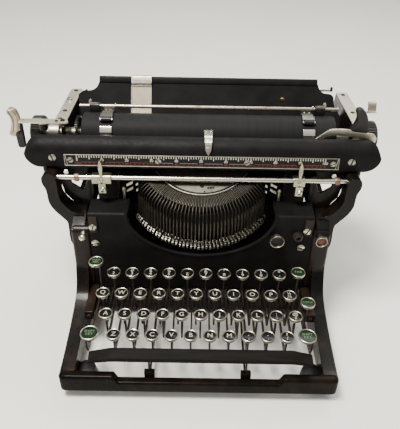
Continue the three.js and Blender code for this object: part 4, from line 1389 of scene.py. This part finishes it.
def return_lever():
    """Flat nickel lever with a hollow bowed grip and a dark adjusting block."""
    bm = bmesh.new()
    outline = [(-139, 172), (-142, 178.5), (-190, 178.5), (-193, 176), (-193, 171), (-171, 170.4),
               (-168, 168.8), (-163, 168.6), (-160, 170.4), (-142, 170)]
    holes = [[(x + u, 175 + v) for u, v in circle(1.3, 12)] for x in (-187, -152)]
    plate(bm, "z", [outline, *holes], 219.9, 222.1, 0.4)
    add("return_arm", bm, "return_lever", FLANGE_NICKEL, replaces=("return_lever",))
    bm = bmesh.new()
    leaf = [(-201, 232.6), (-197.5, 235.2), (-194, 234.6), (-191.2, 231), (-190, 225.3),
            (-189.8, 219.6), (-191, 214), (-193.2, 209.2), (-195, 204.8), (-199, 204.6),
            (-202.4, 206.6), (-201, 211.4), (-199.2, 216.6), (-198.2, 223), (-199.7, 229)]
    plate(bm, "y", [smooth(leaf, 3)], 171.5, 177.4, 1.6, 3)
    inner_rim = [(-198.8, 233.6), (-195.6, 233.2), (-193, 229.6), (-192, 224), (-192, 218.6),
                 (-193.6, 212)]
    outer_rim = [(-200.2, 231.4), (-198, 228), (-196.6, 222), (-197.4, 215), (-199.6, 209)]
    for rim, y, thick in ((inner_rim, 171.4, 1.1), (outer_rim, 171.6, 1.2)):
        path = [(x, y, z) for x, z in smooth(rim, 3, False)]
        sweep(bm, path, circle(thick, 10), up=(0, 1, 0))
    add("return_grip", bm, "return_lever", NICKEL_BEIGE)
    bm = bmesh.new()
    block = [(-195.6, 193.4), (-193.6, 191.6), (-189.4, 191.6), (-187.6, 193.4), (-187.6, 207.6),
             (-188.8, 210), (-194.6, 210), (-196, 207)]
    plate(bm, "y", [block], 169.8, 175.4, 1.2)
    for k in range(6):
        rod(bm, 0.6, -194.6, -188.6, (0, 170, 194 + k * 2.4), "x", 8, 0.2)
    rod(bm, 2, 205, 220, (-189.6, 174, 0), "z", 16)
    add("return_block", bm, "return_lever", HARD_RUBBER)
    bm = bmesh.new()
    screw(bm, -145.5, 174.5, 222.1, "z", 2.6, 1.4, 30, 1)
    screw(bm, -151.5, 172.6, 222.1, "z", 1.8, 1.0, 80, 1)
    rod(bm, 4.4, 212, 219.8, (-166, 173.5, 0), "z", 20)
    add("return_studs", bm, "return_lever", LEVER_STEEL)


def release_lever():
    """Bent nickel arm with its black horn."""
    bm = bmesh.new()
    outline = [(112, 201), (118, 207.8), (128, 216), (134, 219.2), (146, 219.6), (152.6, 219),
               (158, 216.8), (173.5, 215.4), (178.8, 214), (182, 209), (180.3, 204.4), (177, 205.5),
               (172.3, 209.3), (157.7, 211.8), (147.7, 211.6), (135, 212.8), (124.3, 207.2), (116, 199)]
    plate(bm, "y", [smooth(outline, 3)], 169.2, 171.4, 0.5)
    add("release_arm", bm, "release_lever", FLANGE_NICKEL, replaces=("release_lever",))
    bm = bmesh.new()
    horn = [(153, 212.6), (162, 211), (170, 213), (170.6, 222), (169.4, 230), (166.4, 237),
            (162.4, 240.8), (158, 241.2), (156.4, 238.4), (158.6, 231.5), (157.5, 225), (154.6, 219)]
    plate(bm, "y", [smooth(horn, 3)], 169.6, 177.5, 2.4, 3)
    add("release_horn", bm, "release_lever", HARD_RUBBER)


def paper_release():
    """Black arm with a small curled tab at the right."""
    bm = bmesh.new()
    arm = [(206, 196), (214, 196), (211, 216), (208, 223), (202, 226.6), (197.4, 227.4), (197.4, 225.6),
           (201.4, 224.4), (205, 221), (206.6, 214)]
    plate(bm, "x", [arm], 171, 173.5, 0.4)
    add("paper_release_arm", bm, "paper_release_lever", JAPAN,
        replaces=("paper_release_lever",))
    bm = bmesh.new()
    path = [(181.6, y, z) for y, z in smooth([(197.4, 226.2), (199.6, 227), (201, 229.8), (202, 232.6),
                                              (203.4, 234.6), (205.6, 235.2)], 3, False)]
    sweep(bm, path, [(-4.6, -0.6), (4.6, -0.6), (4.2, 0.6), (-4.2, 0.6)], up=(0, -1, 1))
    neck = [(x, 198.4, z) for x, z in ((172, 226.2), (175, 226.3), (180, 226.6))]
    sweep(bm, neck, flat(1.4, 0.7))
    add("paper_release_tab", bm, "paper_release_lever", NICKEL_BEIGE)


# ------------------------------------------------------------------ stage


def camera():
    """Camera above and in front of the keys, looking 35 degrees down."""
    place = Vector((-2.69, -321, 455.5))
    pitch, roll, yaw = 0.615, 0.018, 0.003
    level = Vector((math.sin(yaw), math.cos(yaw), 0))
    ahead = level * math.cos(pitch) - Vector((0, 0, math.sin(pitch)))
    right = Vector((math.cos(yaw), -math.sin(yaw), 0))
    up = right.cross(ahead)
    side = right * math.cos(roll) + up * math.sin(roll)
    top = up * math.cos(roll) - right * math.sin(roll)
    data = bpy.data.cameras.new("camera")
    data.sensor_fit, data.sensor_width, data.lens = "HORIZONTAL", 36, 46.75
    data.clip_start, data.clip_end = 0.02, 20
    made = bpy.data.objects.new("camera", data)
    turn = Matrix((side, top, -ahead)).transposed().to_4x4()
    made.matrix_world = Matrix.Translation(scatter() @ place) @ turn
    bpy.context.scene.collection.objects.link(made)
    bpy.context.scene.camera = made


def area_light(name, place, aim, size, power, colour):
    """A rectangle of light at a place in metres, turned to its aim."""
    data = bpy.data.lights.new(name, "AREA")
    data.shape, data.size, data.size_y = "RECTANGLE", size[0], size[1]
    data.energy, data.color = power, colour
    made = bpy.data.objects.new(name, data)
    made.location = place
    made.rotation_euler = (Vector(aim) - Vector(place)).to_track_quat("-Z", "Y").to_euler()
    bpy.context.scene.collection.objects.link(made)


def stage():
    """Floor, sky and two lights."""
    bm = bmesh.new()
    bmesh.ops.create_grid(bm, x_segments=1, y_segments=1, size=4)
    mesh = bpy.data.meshes.new("floor")
    bm.to_mesh(mesh)
    bm.free()
    mesh.materials.append(pale_floor())
    made = bpy.data.objects.new("floor", mesh)
    bpy.context.scene.collection.objects.link(made)
    world = bpy.data.worlds.new("studio")
    world.use_nodes = True
    background = world.node_tree.nodes["Background"]
    tree = world.node_tree
    direction = tree.nodes.new("ShaderNodeTexCoord").outputs["Generated"]
    split = tree.nodes.new("ShaderNodeSeparateXYZ")
    ramp = tree.nodes.new("ShaderNodeValToRGB")
    ramp.color_ramp.elements[0].color = (0.16, 0.155, 0.145, 1)
    ramp.color_ramp.elements[1].color = (1, 0.98, 0.94, 1)
    tree.links.new(direction, split.inputs[0])
    tree.links.new(split.outputs["Z"], ramp.inputs["Fac"])
    tree.links.new(ramp.outputs["Color"], background.inputs["Color"])
    background.inputs["Strength"].default_value = 1.0
    bpy.context.scene.world = world
    area_light("key_light", (-0.35, -0.3, 1.5), (0, 0, 0.1), (0.5, 0.4), 44, (1, 0.97, 0.9))
    area_light("back_light", (0.5, 0.9, 1.4), (0, 0, 0.15), (1.4, 0.5), 16, (1, 0.98, 0.95))


# ------------------------------------------------------------------ assembly

camera()
stage()
front_rail()
side_castings()
front_columns()
apron()
apron_details()
lower_body()
rear_works()
type_basket()
basket_sides()
rail_cover()
letter_scale()
margin_rod()
margin_stop("margin_stop_left", -104, 20)
margin_stop("margin_stop_right", 101, 12)
keys()
side_keys()
space_bar()
push_button("ribbon_button", 79.9, 119.5, 7.7, HARD_RUBBER)
push_button("red_button", 126.3, 120, 6.3, RED_BUTTON)
carriage_body()
paper_table()
pointer()
platen()
feed_works()
paper_bail()
return_lever()
release_lever()
paper_release()
